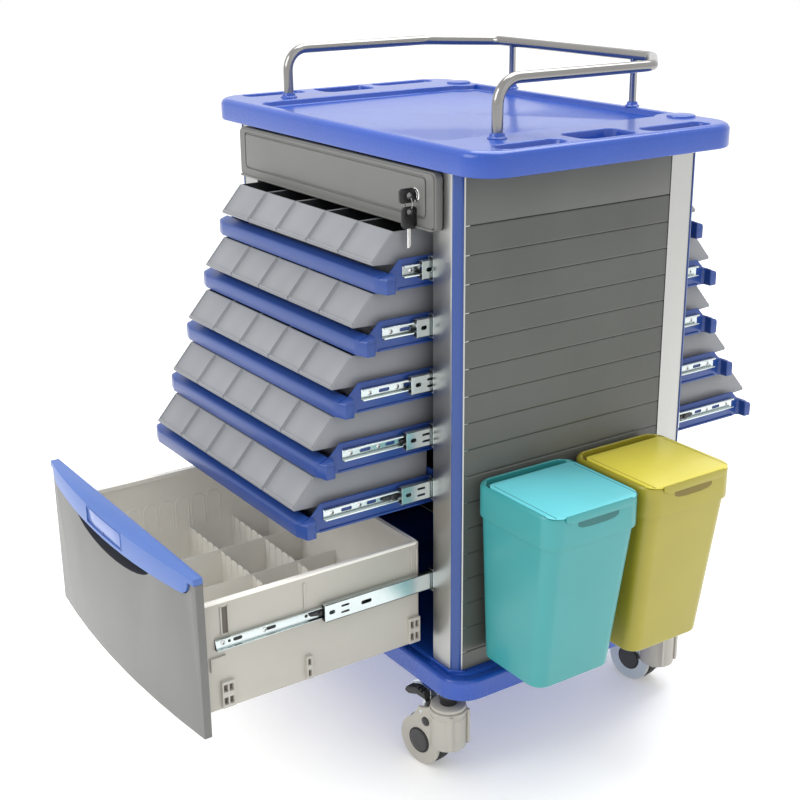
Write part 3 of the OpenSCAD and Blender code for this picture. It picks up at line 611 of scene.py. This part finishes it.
def channel(piece, x0, x1, y0, y1, z, half_h, holes):
    """A slide member: a web with holes in the plane x0 and two rolled lips that reach to x1."""
    s = 1 if x1 > x0 else -1
    low, high = sorted((x0, x0 + s * SHEET))
    piece.plate(rounded((y1 - y0) / 2, half_h, 1.5, 3, ((y0 + y1) / 2, z)), holes, "yz", low, high, ZINC)
    for v in (-1, 1):
        lip = [(x0, z + v * half_h), (x1 - s * 0.8, z + v * half_h), (x1, z + v * (half_h - 0.8)),
               (x1, z + v * (half_h - 2.6)), (x1 - s * 1.2, z + v * (half_h - 2.6)),
               (x1 - s * 1.4, z + v * (half_h - 1.3)), (x0, z + v * (half_h - 1.3))]
        piece.prism(lip, "xz", y0, y1, ZINC, bevel=0.15, segments=1)


def screw(piece, x, y, z):
    """A pan-head screw that looks along X, with a cross in its head."""
    head = [(-0.6, 3.4), (0.5, 3.5), (1.2, 3), (1.7, 1.6), (1.8, 0.05)]
    piece.lathe(head, (x, y, z), ACROSS, CHROME, steps=20)
    # the cross is black blocks on the head: painted shade of the recess
    for u, v in ((2, 0.45), (0.45, 2)):
        piece.block((x, y - u, z - v), (x + 1.84, y + u, z + v), BLACK, 0)


def inner_member(piece, y0, y1, z):
    """The member that is screwed to a flange, from its front end y0."""
    holes = [oval(y0 + 14, z, 3.4, 3.4), oval(y0 + 38, z, 9, 2.5), oval(y0 + 60, z, 2.2, 2.2),
             oval(y0 + 80, z, 8, 2.5), oval(y0 + 96, z, 1.8, 1.8)]
    channel(piece, FLANGE_X + 0.2, 239.4, y0, y1, z, 8.65, holes)
    screw(piece, FLANGE_X + 0.6, y0 + 14, z)
    screw(piece, FLANGE_X + 0.6, y0 + 60, z)
    catch(piece, y0 + 112, z)


def catch(piece, y, z):
    """The black release lever on an inner member."""
    lever = [(-16, -1.6), (-6, -3.4), (4, -4.2), (14, -2), (16, 2.2), (6, 4.4), (-4, 3.2), (-16, 1.6)]
    piece.prism([(y + u, z + v) for u, v in lever], "yz", 233.6, 237, RETAINER, bevel=0.7)
    knob = [(0, 4.6), (2.4, 4.4), (3, 3.6), (3.1, 0.1)]
    piece.lathe(knob, (236.4, y + 2, z), ACROSS, RETAINER, steps=24)


def mid_member(piece, y0, y1, z):
    """The member between the inner and the outer one, with its stops at the front end."""
    holes = [oval(y0 + 12, z, 5, 3), oval(y0 + 34, z + 5, 7, 1.6), oval(y0 + 34, z - 5, 7, 1.6),
             oval(y0 + 70, z, 9, 3)]
    channel(piece, 244.8, 235.3, y0, y1, z, 13.5, holes)
    for low, high in ((-12, -8.9), (8.9, 12)):
        piece.block((236, y0 - 0.6, z + low), (244.4, y0 + 9, z + high), RETAINER, 0.6)


def outer_member(piece, y0, y1, z):
    """The member that is screwed to the cabinet's inner wall, with its ball cages at the front end."""
    holes = [oval(y0 + 18, z, 6, 2.6), oval(y0 + 60, z, 6, 2.6)]
    channel(piece, WALL_X, 235.9, y0, y1, z, 17.5, holes)
    for low, high in ((-16, -13.7), (13.7, 16)):
        piece.block((238, y0 + 0.5, z + low), (247, y0 + 12, z + high), RETAINER, 0.6)


FACING = {"front": Matrix.Identity(3), "back": Matrix.Rotation(pi, 3, "Z")}
SIDES = (Matrix.Identity(3), Matrix.Diagonal((-1, 1, 1)))
LEVELS = range(1, 6)
TRAY_TOP = [node_box(f"front_bins_{k}")[1].z for k in LEVELS]
# a tray's slide under its bins' top, the slides' front end and length, and a closed tray's front edge
SLIDE_DROP, SLIDE_FRONT, SLIDE_LEN, CLOSED = 53.6, -222, 205, -210
DRAWER_SLIDE_Z, TOP_SLIDE_Z, TOP_SLIDE_Y = 308, 872, -196


def build_outer_members():
    piece = Piece("v_slide_outer_members")
    for sign in SIDES:
        for facing in FACING.values():
            piece.turn = facing @ sign
            for top in TRAY_TOP:
                outer_member(piece, SLIDE_FRONT, SLIDE_FRONT + SLIDE_LEN, top - SLIDE_DROP)
        piece.turn = sign
        outer_member(piece, SLIDE_FRONT, 150, DRAWER_SLIDE_Z)
        outer_member(piece, TOP_SLIDE_Y, 80, TOP_SLIDE_Z)
    piece.finish("cabinet", ["slide_outer_members"], sharp=40)


def build_mid_pair(body, node, y0, y1, z):
    piece = Piece("v_" + node)
    for side in SIDES:
        piece.turn = side
        mid_member(piece, y0, y1, z)
    piece.finish(body, [node], sharp=40)


# ---- trays and bins

MID_SHARE = 0.27   # of its tray's travel, which a middle slide member makes
BIN_REACH = 35     # how far the foot of a bin's front stands before its top edge


def tray_place(facing, k):
    """The turn and shift that put a tray, drawn from its bins' top front edge, in its place, and how far out
    that edge stands."""
    low, high = node_box(f"{facing}_bins_{k}")
    edge = (low.y if facing == "front" else -high.y) + BIN_REACH
    return FACING[facing], FACING[facing] @ Vector((0, edge, high.z)), edge


TRAY_LOW, TRAY_DEPTH = -79.5, 196
LIP = [(-33.4, TRAY_LOW), (-34, -78.6), (-34, -61.6), (-33.4, -59.6), (-32, -58.4), (-17.5, -53),
       (-15.5, -53.1), (-14, -55), (-12.6, -59.5), (-9.5, -66), (-5, -71.5), (0, -75), (6, -76.8),
       (6, TRAY_LOW)]


def lip_bar(piece):
    """The pull bar: a crowned front, a scooped back, and chamfered ends."""
    rings = []
    for x in (-FLANGE_X + 0.5, -225, -224, 224, 225, FLANGE_X - 0.5):
        back = max(0, (abs(x) - 224.5)) * 0.32
        rings.append([(x, max(y, -34 + back), z) for y, z in LIP])
    piece.loft(rings, BLUE_LIP)
    for side in (-1, 1):
        plan = [(226, -33.3), (231, -32), (246.2, -27.5), (247, -26.4), (247, -14.4), (246, -13.2),
                (FLANGE_X + 7, -13.2), (FLANGE_X + 2, -12.6), (FLANGE_X - 0.5, -6), (226, -6)]
        piece.prism([(side * x, y) for x, y in plan], "xy", TRAY_LOW, -60.5, BLUE_LIP, bevel=1)
        # the top slopes back like the bar's own
        ring_a = [(side * x, y, -60.6) for x, y in plan]
        ring_b = [(side * (x - 0.8 if x > 230 else x), min(y + 1.2, -13.4) if y < -14 else y - 0.3,
                   -59 + 0.32 * (min(y, -14) + 33)) for x, y in plan]
        piece.loft([ring_a, ring_b], BLUE_LIP, bevel=0.8, segments=2)


def build_tray(facing, k):
    name = f"{facing}_tray_{k}"
    turn, shift, edge = tray_place(facing, k)
    piece = Piece("v_" + name)
    piece.turn, piece.shift = turn, shift
    lip_bar(piece)
    depth, low = TRAY_DEPTH, TRAY_LOW
    piece.block((-FLANGE_X + 1, 4, low), (FLANGE_X - 1, depth, -77.2), BLUE_LIP, 0.4)
    piece.block((-FLANGE_X + 1, depth - 2.5, low), (FLANGE_X - 1, depth, -30), BLUE_LIP, 0.5)
    flange = [(-13, low), (depth, low), (depth, -36.5), (5, -36.5), (3, -37.2), (-13, -53.5)]
    for side in SIDES:
        piece.turn = turn @ side
        piece.prism(flange, "yz", FLANGE_X - 2.6, FLANGE_X, BLUE_LIP, bevel=0.5)
        # stiffening ridges along the flange's foot and head
        piece.block((FLANGE_X - 0.2, 0, low), (FLANGE_X + 1.6, depth, -76.4), BLUE_LIP, 0.5)
        piece.block((FLANGE_X - 0.2, 8, -38.4), (FLANGE_X + 1.2, depth, -36.6), BLUE_LIP, 0.4)
        inner_member(piece, 6.2, depth, -SLIDE_DROP)
    piece.finish(name, [name], sharp=40)
    middle = Piece(f"v_{name}_mid_members")
    out = CLOSED - edge
    start = SLIDE_FRONT - out * MID_SHARE
    middle.shift = Vector((0, 0, shift.z))
    for side in SIDES:
        middle.turn = turn @ side
        mid_member(middle, start, start + SLIDE_LEN, -SLIDE_DROP)
    obj = middle.finish(None, sharp=40)
    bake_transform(obj)


BIN_COUNT, BIN_W, BIN_WALL = 5, 88.6, 1.8
BIN_OUT = [(0, 0), (-35, -40), (-34.6, -41.8), (-33.2, -43), (8, -45), (14, -76.5), (190, -76.5), (192, 0)]
# section of the dark sheets inside a bin, which stand for the shade there
BIN_SHADE_SECTION = [(2.789, -0.2), (-31, -38.6), (-30.6, -40.4), (10.6, -42.6), (16.6, -74), (187.6, -74),
          (189.4, -1.2)]


def bin_shell(piece, x0):
    """One bin: two side walls, and a bent sheet for the front, the floor and the back."""
    x0, x1 = x0 + 0.9, x0 + BIN_W - 0.9
    in0, in1 = x0 + BIN_WALL, x1 - BIN_WALL
    for a, b in ((x0, in0), (in1, x1)):
        piece.prism(BIN_OUT, "yz", a, b, BIN_GREY, bevel=0.45)
    sheets = [[(0, 0), (-35, -40), (-34.6, -41.8), (-33.2, -43), (-31.4, -41.2), (-32.2, -39.4), (2.3, 0)],
              [(-34, -42.6), (8, -45), (8.6, -43.2), (-31.6, -41)],
              [(8, -45), (14, -76.5), (16, -75), (10, -43.2)],
              [(14, -76.5), (190, -76.5), (190, -74.6), (15, -74.6)],
              [(190, -76.5), (192, 0), (190, 0), (188, -75)]]
    for sheet in sheets:
        piece.prism(sheet, "yz", in0 - 0.1, in1 + 0.1, BIN_GREY, bevel=0.25, segments=1)
    # dark sheets inside the bin, which are seen through the open top: painted shade
    for x in (in0 + 0.05, in1 - 0.25):
        piece.prism(BIN_SHADE_SECTION, "yz", x, x + 0.2, BIN_INSIDE_SHADE, bevel=0)
    a, b = in0 + 0.1, in1 - 0.1
    for (ya, za), (yb, zb) in zip(BIN_SHADE_SECTION, BIN_SHADE_SECTION[1:]):
        ring = [(a, ya, za), (b, ya, za), (b, yb, zb), (a, yb, zb)]
        face = piece.mesh.faces.new([piece.vertex(p) for p in ring])
        face.material_index = piece.slot(BIN_INSIDE_SHADE)
    # raised frame round the sloping front, which holds a label card
    front = Vector((0, -BIN_REACH, -40))
    slope, length = front.normalized(), front.length
    out = Vector((0, slope.z, -slope.y))

    def bar(xa, xb, sa, sb, lift=0.9):
        base = [Vector((x, 0, 0)) + slope * s for x, s in ((xa, sa), (xb, sa), (xb, sb), (xa, sb))]
        piece.loft([[p - out * 0.3 for p in base], [p + out * lift for p in base]], BIN_GREY, bevel=0.35,
                   segments=1)
    bar(x0 + 1.4, x0 + 3.4, 2.5, length - 1.5)
    bar(x1 - 3.4, x1 - 1.4, 2.5, length - 1.5)
    bar(x0 + 1.4, x1 - 1.4, length - 4.2, length - 1.4, 1.3)


def build_bins(facing, k):
    name = f"{facing}_bins_{k}"
    piece = Piece("v_" + name)
    piece.turn, piece.shift, _ = tray_place(facing, k)
    for i in range(BIN_COUNT):
        bin_shell(piece, (i - BIN_COUNT / 2) * BIN_W)
    piece.finish(f"{facing}_tray_{k}", [name], sharp=35)


build_board()
build_rail()
build_columns()
build_base()
build_side_panel("side_slats_right", 1)
build_side_panel("side_slats_left", -1)
refine("inner_walls", BLACK, "cabinet", 0.3)
refine("rear_panels", PANEL_GREY, "cabinet", 0.8)
refine("bin_brackets", ZINC, "cabinet", 0.3)
build_outer_members()
for facing in FACING:
    for k in LEVELS:
        build_tray(facing, k)
        build_bins(facing, k)


# ---- top drawer and lock

TOP_Y, TOP_Z, PANEL_Z = -225, 882, 886   # the front's back face, its middle and its raised panel's middle
LOCK = (233, TOP_Y, 888)
KEY_RING_Z = 877.3


def build_top_drawer():
    piece = Piece("v_top_drawer_front")
    # the panel, the frame and the field inside it, and the lip along the lower edge
    piece.prism(rounded(275, 40, 9, 5, (0, TOP_Z)), "xz", TOP_Y - 12.6, TOP_Y, PANEL_GREY, 2, 3)
    piece.plate(rounded(272.5, 37.5, 7, 5, (0, TOP_Z)), [rounded(256, 29, 7, 5, (0, PANEL_Z))], "xz",
                TOP_Y - 14.6, TOP_Y - 12, PANEL_GREY, edge=0.6)
    piece.prism(rounded(253, 26, 5, 5, (0, PANEL_Z)), "xz", TOP_Y - 15, TOP_Y - 12, PANEL_GREY, 1, 3)
    piece.prism([(-270, 842.4), (270, 842.4), (272, 845.6), (-272, 845.6)], "xz", TOP_Y - 17, TOP_Y - 11,
                PANEL_GREY, 1, 3)
    piece.finish("top_drawer", ["top_drawer_front"])
    # the top drawer's box takes the lighter copy of the white: painted light
    refine("top_drawer_box", WHITE_LIT, "top_drawer", 0.6,
           paint=lambda at, _: ZINC if abs(at.x) > FLANGE_X + 0.1 else None)
    build_mid_pair("top_drawer_mid", "top_drawer_mid", TOP_SLIDE_Y + 1, 60, TOP_SLIDE_Z)
    barrel = Piece("v_lock_barrel")
    barrel.lathe([(-12, 7.2), (-11.2, 8), (14.8, 8), (15, 9.8), (16.6, 9.6), (17.4, 8.8), (17.5, 6.4),
                  (16.8, 6.1)], LOCK, (0, -1, 0), CHROME)
    barrel.finish("top_drawer", ["lock_barrel"], sharp=30)
    refine("lock_key", KEY_BLACK, "lock_plug", 0.7, angle=40, segments=3,
           paint=lambda at, _: CHROME if at.y > TOP_Y - 17.3 else None)

    def key_metal(at, _):
        from_ring = hypot(at.x - LOCK[0], at.z - KEY_RING_Z)
        in_ring = abs(at.y - (TOP_Y - 27)) < 1 and 7.5 < from_ring < 9.5 and at.z > 869.5
        return CHROME if at.z < 843 or in_ring else None
    refine("spare_key", KEY_BLACK, "spare_key", 0.25, angle=40, paint=key_metal)


# ---- bottom drawer

DRAWER_BACK = node_box("drawer_front")[1].y
FRONT_HALF, RAIL_BOW = 257, (14, 20)   # the front's half width, and the handle rail's least and added depth
BOX_FLOOR, BOX_TOP, DIVIDER_TOP = 205, 371, 264.5


def rail_face(x):
    """Y of the handle rail's bowed face."""
    return DRAWER_BACK - RAIL_BOW[0] - RAIL_BOW[1] * (1 - (x / FRONT_HALF) ** 2)


def window_frame(piece):
    """The thin frame that stands proud round the label window."""
    low, high, half = 397.4, 424.6, 62.6
    for z in (low, high - 1.4):
        rings = []
        for i in range(13):
            x = -half + 2 * half * i / 12
            y = rail_face(x)
            rings.append([(x, y - 0.7, z), (x, y - 0.7, z + 1.4), (x, y + 2, z + 1.4), (x, y + 2, z)])
        piece.loft(rings, HANDLE_BLUE)
    for x in (-half, half - 1.4):
        y = rail_face(half)
        piece.block((x, y - 0.7, low), (x + 1.4, y + 2, high), HANDLE_BLUE, 0.3)


def label_mark(piece):
    """The small triangular notch at the window's lower edge, through which the blue shows."""
    y = rail_face(0)
    piece.prism([(-3.4, 399), (3.4, 399), (0, 403.4)], "xz", y + 0.4, y + 1.4, STRIP_BLUE, bevel=0.2)


def box_details(piece):
    """Ribs, the slide's fittings and the clips' dark windows on the outside, arches inside on the left, and
    the rim's bead."""
    for side in SIDES:
        piece.turn = side
        # the ribs on the outside take the darker copy of the white: painted shade
        for y, width, low, high in ((-567, 2.6, 320, 362), (-556, 2.6, 320, 362), (-253, 2.4, 318, 362),
                                    (-243, 2.4, 318, 362), (-436, 3, 320, 360)):
            piece.block((FLANGE_X - 0.3, y, low), (FLANGE_X + 2, y + width, high), WHITE_SHADE, 0.6)
        piece.block((FLANGE_X - 0.2, -564.4, 321), (FLANGE_X + 0.25, -556, 361), BROWN, 0)
        # black ovals where the slide's holes are: painted shade
        for y, half_u, half_v in ((-555, 2.2, 2.2), (-542, 7, 2.6), (-490, 8, 2.4), (-433, 2.6, 2.6)):
            hole = oval(y, DRAWER_SLIDE_Z, half_u, half_v)
            piece.prism(hole, "yz", FLANGE_X + 1.3, FLANGE_X + 1.7, BLACK, 0)
        for y in (-565, -500):
            screw(piece, FLANGE_X + 1.5, y, DRAWER_SLIDE_Z)
        catch(piece, -412, DRAWER_SLIDE_Z)
        for y, width, height in ((-571.8, 20, 41), (-436.8, 10, 37), (-258.8, 20, 42)):
            foot, middle = BOX_FLOOR + 3, y + width / 2
            for share in (0.12, 0.6):
                piece.block((FLANGE_X - 0.2, y + 2.6, foot + height * share + 0.2),
                            (FLANGE_X + 1.2, y + width - 2.6, foot + height * (share + 0.28) - 0.2), BROWN, 0)
            # the post takes the darker copy of the white: painted shade
            if width > 15:
                piece.block((FLANGE_X, middle - 1.2, foot + 2),
                            (FLANGE_X + 5.9, middle + 1.2, foot - 2 + height), WHITE_SHADE, 0.3)
    piece.turn = SIDES[0]
    # the arches inside and the rim's bead take the lighter copy of the white: painted light
    inside = -FLANGE_X + 3.1
    for i in range(6):
        middle = -492 + i * 29.2
        foot, arch = BOX_FLOOR + 60, arc((middle, 308), 12, 180, 0, 10)
        arch = [(middle - 12, foot)] + arch + [(middle + 12, foot)]
        piece.tube([(inside, y, z) for y, z in arch], 0.9, WHITE_LIT, 8)
    y0, y1 = DRAWER_BACK + 1.6, DRAWER_BACK + 360.4
    rim = rounded(FLANGE_X - 1.6, (y1 - y0) / 2, 5, 4, (0, (y0 + y1) / 2))
    bead = [(x, y, BOX_TOP - 1.6) for x, y in rim]
    piece.tube(bead + bead[:2], 2.6, WHITE_LIT, 12)


def comb_outline():
    """A divider with slots cut from above, so that its top is a row of round-cornered teeth."""
    edges = [-228.4] + [v for i in range(22) for v in (-221 + i * 21, -219.4 + i * 21)] + [228.4]
    points = [(edges[0], BOX_FLOOR + 3.2), (edges[-1], BOX_FLOOR + 3.2)]
    root = DIVIDER_TOP - 38
    for right, left in zip(reversed(edges[1::2]), reversed(edges[0::2])):
        r = min(5, (right - left) / 2 - 0.4)
        top = arc((right - r, DIVIDER_TOP - r), r, 0, 90, 4) + arc((left + r, DIVIDER_TOP - r), r, 90, 180, 4)
        points += ([] if right > 228 else [(right, root)]) + top + ([] if left < -228 else [(left, root)])
    return points


def build_bottom_drawer():
    recess = DRAWER_BACK - 10.5

    def front_paint(at, facing):
        # faces in the finger recess take the dark grey: painted shade
        in_recess = abs(at.x) < 136 and 360 < at.z < 397 and (at.y > recess or facing.z > 0.3)
        return RECESS_SHADE if in_recess else None

    def box_paint(at, _):
        if abs(at.z - DRAWER_SLIDE_Z) < 9 and abs(at.x) > FLANGE_X + 0.1:
            return ZINC
        # outward faces of the sides take the darker copy of the white, painted shade; the rest keeps the
        # lighter copy, painted light
        return WHITE_SHADE if abs(at.x) > FLANGE_X - 0.1 else None
    refine("drawer_front", PANEL_GREY, "bottom_drawer", 1.6, angle=50, segments=3,
           paint=front_paint)
    refine("drawer_handle", HANDLE_BLUE, "bottom_drawer", 1.4, angle=50, segments=3,
           extra=window_frame)
    refine("drawer_label", WINDOW, "bottom_drawer", 0.2, angle=50, extra=label_mark)
    refine("drawer_box", WHITE_LIT, "bottom_drawer", 0.7, angle=40, extra=box_details,
           paint=box_paint)
    piece = Piece("v_drawer_dividers")
    # the dividers take the lighter copy of the white: painted light
    for y in (205, 287):
        piece.prism(comb_outline(), "xz", DRAWER_BACK + y, DRAWER_BACK + y + 2, WHITE_LIT, bevel=0.3, segments=1)
    for x in (-110, -2):
        piece.block((x, DRAWER_BACK + 3.9, BOX_FLOOR + 3.4),
                    (x + 1.5, DRAWER_BACK + 358, DIVIDER_TOP + 3), WHITE_LIT)
    piece.finish("bottom_drawer", ["drawer_dividers"])
    low, high = node_box("drawer_mid")
    build_mid_pair("bottom_drawer_mid", "drawer_mid", low.y, high.y, DRAWER_SLIDE_Z)


# ---- casters

TRAIL, WHEEL_R = 42, 41
BUTTON_X, BUTTON_Z = 14 - TRAIL, WHEEL_R + 39   # the small cap over the wheel's
# name: side in x, side in y, heading in degrees
CASTERS = {"front_right": (1, -1, 10), "front_left": (-1, -1, 14), "back_right": (1, 1, 10),
           "back_left": (-1, 1, 6)}


def caster_frame(name):
    """The turn and shift of a caster that is drawn at the origin, trailing towards -X."""
    side_x, side_y, heading = CASTERS[name]
    shift = Vector((side_x * CASTER_AT[0], side_y * CASTER_AT[1], 0))
    return Matrix.Rotation(radians(heading), 3, "Z"), shift


def build_caster(name):
    turn, shift = caster_frame(name)

    def paint(at, _):
        local = turn.transposed() @ (at - shift)
        if local.z > 134:
            return ZINC
        near_cap = (hypot(local.x + TRAIL, local.z - WHEEL_R) < 18.6
                    or hypot(local.x - BUTTON_X, local.z - BUTTON_Z) < 6.9)
        if local.z > 117.2 or (abs(local.y) > 21.1 and near_cap):
            return RETAINER
        return ZINC if hypot(local.x + TRAIL, local.z - WHEEL_R) < 4.2 else None

    def details(piece):
        piece.turn, piece.shift = turn, shift
        for s in (-1, 1):
            hub = (-TRAIL, s * 21, WHEEL_R)
            piece.lathe([(0, 21), (1, 20.8), (1.6, 19.6), (1.2, 18.8)], hub, (0, s, 0), BLACK)
            piece.lathe([(0.5, 18.4), (2, 18), (2.8, 15.5), (3.1, 8), (3.2, 0.1)], hub, (0, s, 0), HUBCAP)
            piece.lathe([(0, 7.6), (1.2, 7.2), (2.2, 5.8), (2.5, 0.1)], (BUTTON_X, s * 21.2, BUTTON_Z),
                        (0, s, 0), RETAINER, steps=24)
        # the swivel's rings, gap and stem, up to the base; the gap is a thin black ring: painted shade
        for material, *profile in (
                (CASTER, (105, 28.6), (108, 29.2), (109.4, 28.4), (109.6, 25.6)),
                (RETAINER, (109.2, 26), (110.8, 25.8)),
                (CASTER, (110.6, 26.4), (112, 27.4), (115.6, 27.2), (117, 25.8), (117.2, 12.5)),
                (RETAINER, (117, 13.2), (124, 13), (125, 14.5), (133, 14.4), (134, 12.6))):
            piece.lathe(profile, (0, 0, 0), UP, material)
    refine("caster_" + name, CASTER, "caster_" + name, 1.5, angle=40, segments=3,
           extra=details, paint=paint)
    wheel = Piece("v_wheel_" + name)
    wheel.turn, wheel.shift = turn, shift
    half = [(3, 41), (6.4, 40.8), (10.4, 39.6), (13, 37), (13.8, 33.6), (13.2, 30.6), (11.2, 29)]
    tyre = [(-a, r) for a, r in reversed(half)] + [(-2.2, 40.2), (2.2, 40.2)] + half
    wheel.lathe(tyre, (-TRAIL, 0, WHEEL_R), ALONG, TYRE, steps=64)
    hub = [(11, 28.8), (11.4, 26), (9.8, 24), (9.8, 15), (11.6, 13.4), (14.4, 12.4), (14.5, 4.2)]
    wheel.lathe([(-a, r) for a, r in reversed(hub)] + hub, (-TRAIL, 0, WHEEL_R), ALONG, CASTER)
    wheel.finish("wheel_" + name, ["wheel_" + name], sharp=40)


def build_pedal(name):
    def ridges(piece):
        piece.turn, piece.shift = caster_frame("front_" + name)
        for i in range(6):
            x = -69 + i * 6.4
            z = 123.4 + 0.27 * min(i, 3.4) * 6.4 - max(0, i - 3.4) * 1.6
            for y in (-18.2, 8.6):
                piece.block((x, y, z - 3), (x + 3.2, y + 9.6, z + 1.6), RUBBER, 0.7)
        # the bent steel strip under the rubber
        strip = [(-30.2, 108), (-30.6, 125.6), (-33, 127.4), (-51, 131), (-72, 125), (-72, 123.6),
                 (-51, 129.2), (-34, 125.8), (-32.2, 124.4), (-32, 108)]
        piece.prism(strip, "xz", -7.4, 7.4, ZINC, bevel=0.4)
    refine("brake_pedal_" + name, RUBBER, "brake_pedal_" + name, 1.6, angle=40, segments=3,
           extra=ridges, paint=lambda at, _: ZINC if at.z < 111 else None)


# ---- waste bins

WASTE_X, WASTE_Z, WASTE_W, WASTE_D, COLLAR_H, WASTE_H = 311, 486, 170, 172, 50, 282
HINGE_AT = (22, 0, -4.2)


def build_waste(name, y, tint, lid, groove):
    shift = Vector((WASTE_X, y + WASTE_W / 2, WASTE_Z))

    def ring(z, inset):
        """The tapered body's outline at height z."""
        t = (z + WASTE_H) / (WASTE_H - COLLAR_H + 6)
        near, far, half = 4, WASTE_D - 35 + 31 * t, WASTE_W / 2 - 14 + 10 * t
        return [(u, v, z) for u, v in rounded((far - near) / 2 - inset, half - inset, 22 - inset * 0.8, 10,
                                              ((far + near) / 2, 0))]
    body = Piece("v_waste_bin_" + name)
    body.shift = shift
    foot = [(-WASTE_H + 5 - 5 * sin(radians(a)), 5 - 5 * cos(radians(a)))
            for a in range(90, -1, -15)]
    inner = [(-44.1, 0), (-44, 2.4), (-WASTE_H + 6, 2.4), (-WASTE_H + 3, 5)]
    body.loft([ring(z, inset) for z, inset in foot + inner], tint)
    body.finish("cabinet", ["waste_bin_" + name], sharp=50)

    collar = Piece("v_waste_collar_" + name)
    collar.shift = shift
    profile = [(7.9, -43.8), (3.5, -44), (3.3, -49.6), (1.6, -50), (0.4, -49.2), (0, -47.6), (0, -9)]
    profile += crown(7, 0)
    profile += [(8, -0.8), (8.2, -5), (8.2, -43.8), (7.9, -43.8)]
    rings = []
    for inset, z in profile:
        points = rounded(WASTE_D / 2 - inset, WASTE_W / 2 - inset, 26 - inset * 0.8, 10, (WASTE_D / 2, 0))
        # the flap's seat lies lower than the rim
        rings.append([(u, v, min(z, -3.9) if u > 18 and abs(v) < 80.2 else z) for u, v in points])
    collar.loft(rings, tint, caps=(False, False))
    # grip slot under the flap's skirt, with a curved lower edge, and the slot of the hinge, both in the darker
    # copy of the colour: painted shade
    grip = [(-37, -14), (37, -14), (37, -20), (30, -23.4), (15, -25), (-15, -25), (-30, -23.4), (-37, -20)]
    collar.prism(grip, "yz", WASTE_D - 4, WASTE_D + 0.15, groove, bevel=0)
    collar.block((17.6, -WASTE_W / 2 + 9, -6), (23.6, WASTE_W / 2 - 9, -3.6), groove, 0.2)
    collar.finish("cabinet", ["waste_collar_" + name], sharp=40)

    flap = Piece("v_waste_flap_" + name)
    flap.shift = shift
    top = []
    for inset, z in ((0.6, -3.2), (0, -2.6), (0, -0.9), (0.3, -0.3), (0.9, 0)):
        outline = (arc((152, -59), 20.6 - inset, -90, 0, 8) + arc((152, 59), 20.6 - inset, 0, 90, 8)
                   + arc((36.4, 67.6), 12 - inset, 90, 180, 6) + arc((36.4, -67.6), 12 - inset, 180, 270, 6))
        top.append([(u, v, z) for u, v in outline])
    # the flap's top takes the lighter copy of the colour: painted light
    flap.loft(top, lid)
    # thin strips in the darker copy of the colour draw the flap's grooves: painted shade
    for s in (-1, 1):
        flap.block((34, s * 73.6 - 0.5, -0.2), (170, s * 73.6 + 0.5, 0.12), groove, 0)
    skirt = [(-60, -0.6), (-60, -8), (-58, -10), (-54, -10.6), (-52, -13), (56, -13), (59, -12), (60, -9),
             (60, -0.6)]
    flap.prism(skirt, "yz", WASTE_D + 0.3, WASTE_D + 2.6, tint, bevel=0.8, segments=3)
    # the hinge pin and the bar under the flap take the darker copy of the colour: painted shade
    flap.lathe([(-75, 2), (-74, 2.5), (74, 2.5), (75, 2)], HINGE_AT, ALONG, groove, steps=20)
    flap.block((21, -70, -5.2), (27, 70, -2), groove, 0.3)
    flap.finish("waste_flap_" + name, ["waste_flap_" + name], sharp=40)


build_top_drawer()
build_bottom_drawer()
for caster in CASTERS:
    build_caster(caster)
build_pedal("right")
build_pedal("left")
build_waste("front", -198, TEAL, TEAL_LID_LIT, TEAL_SHADE)
build_waste("back", -18, YELLOW, YELLOW_LID_LIT, YELLOW_SHADE)
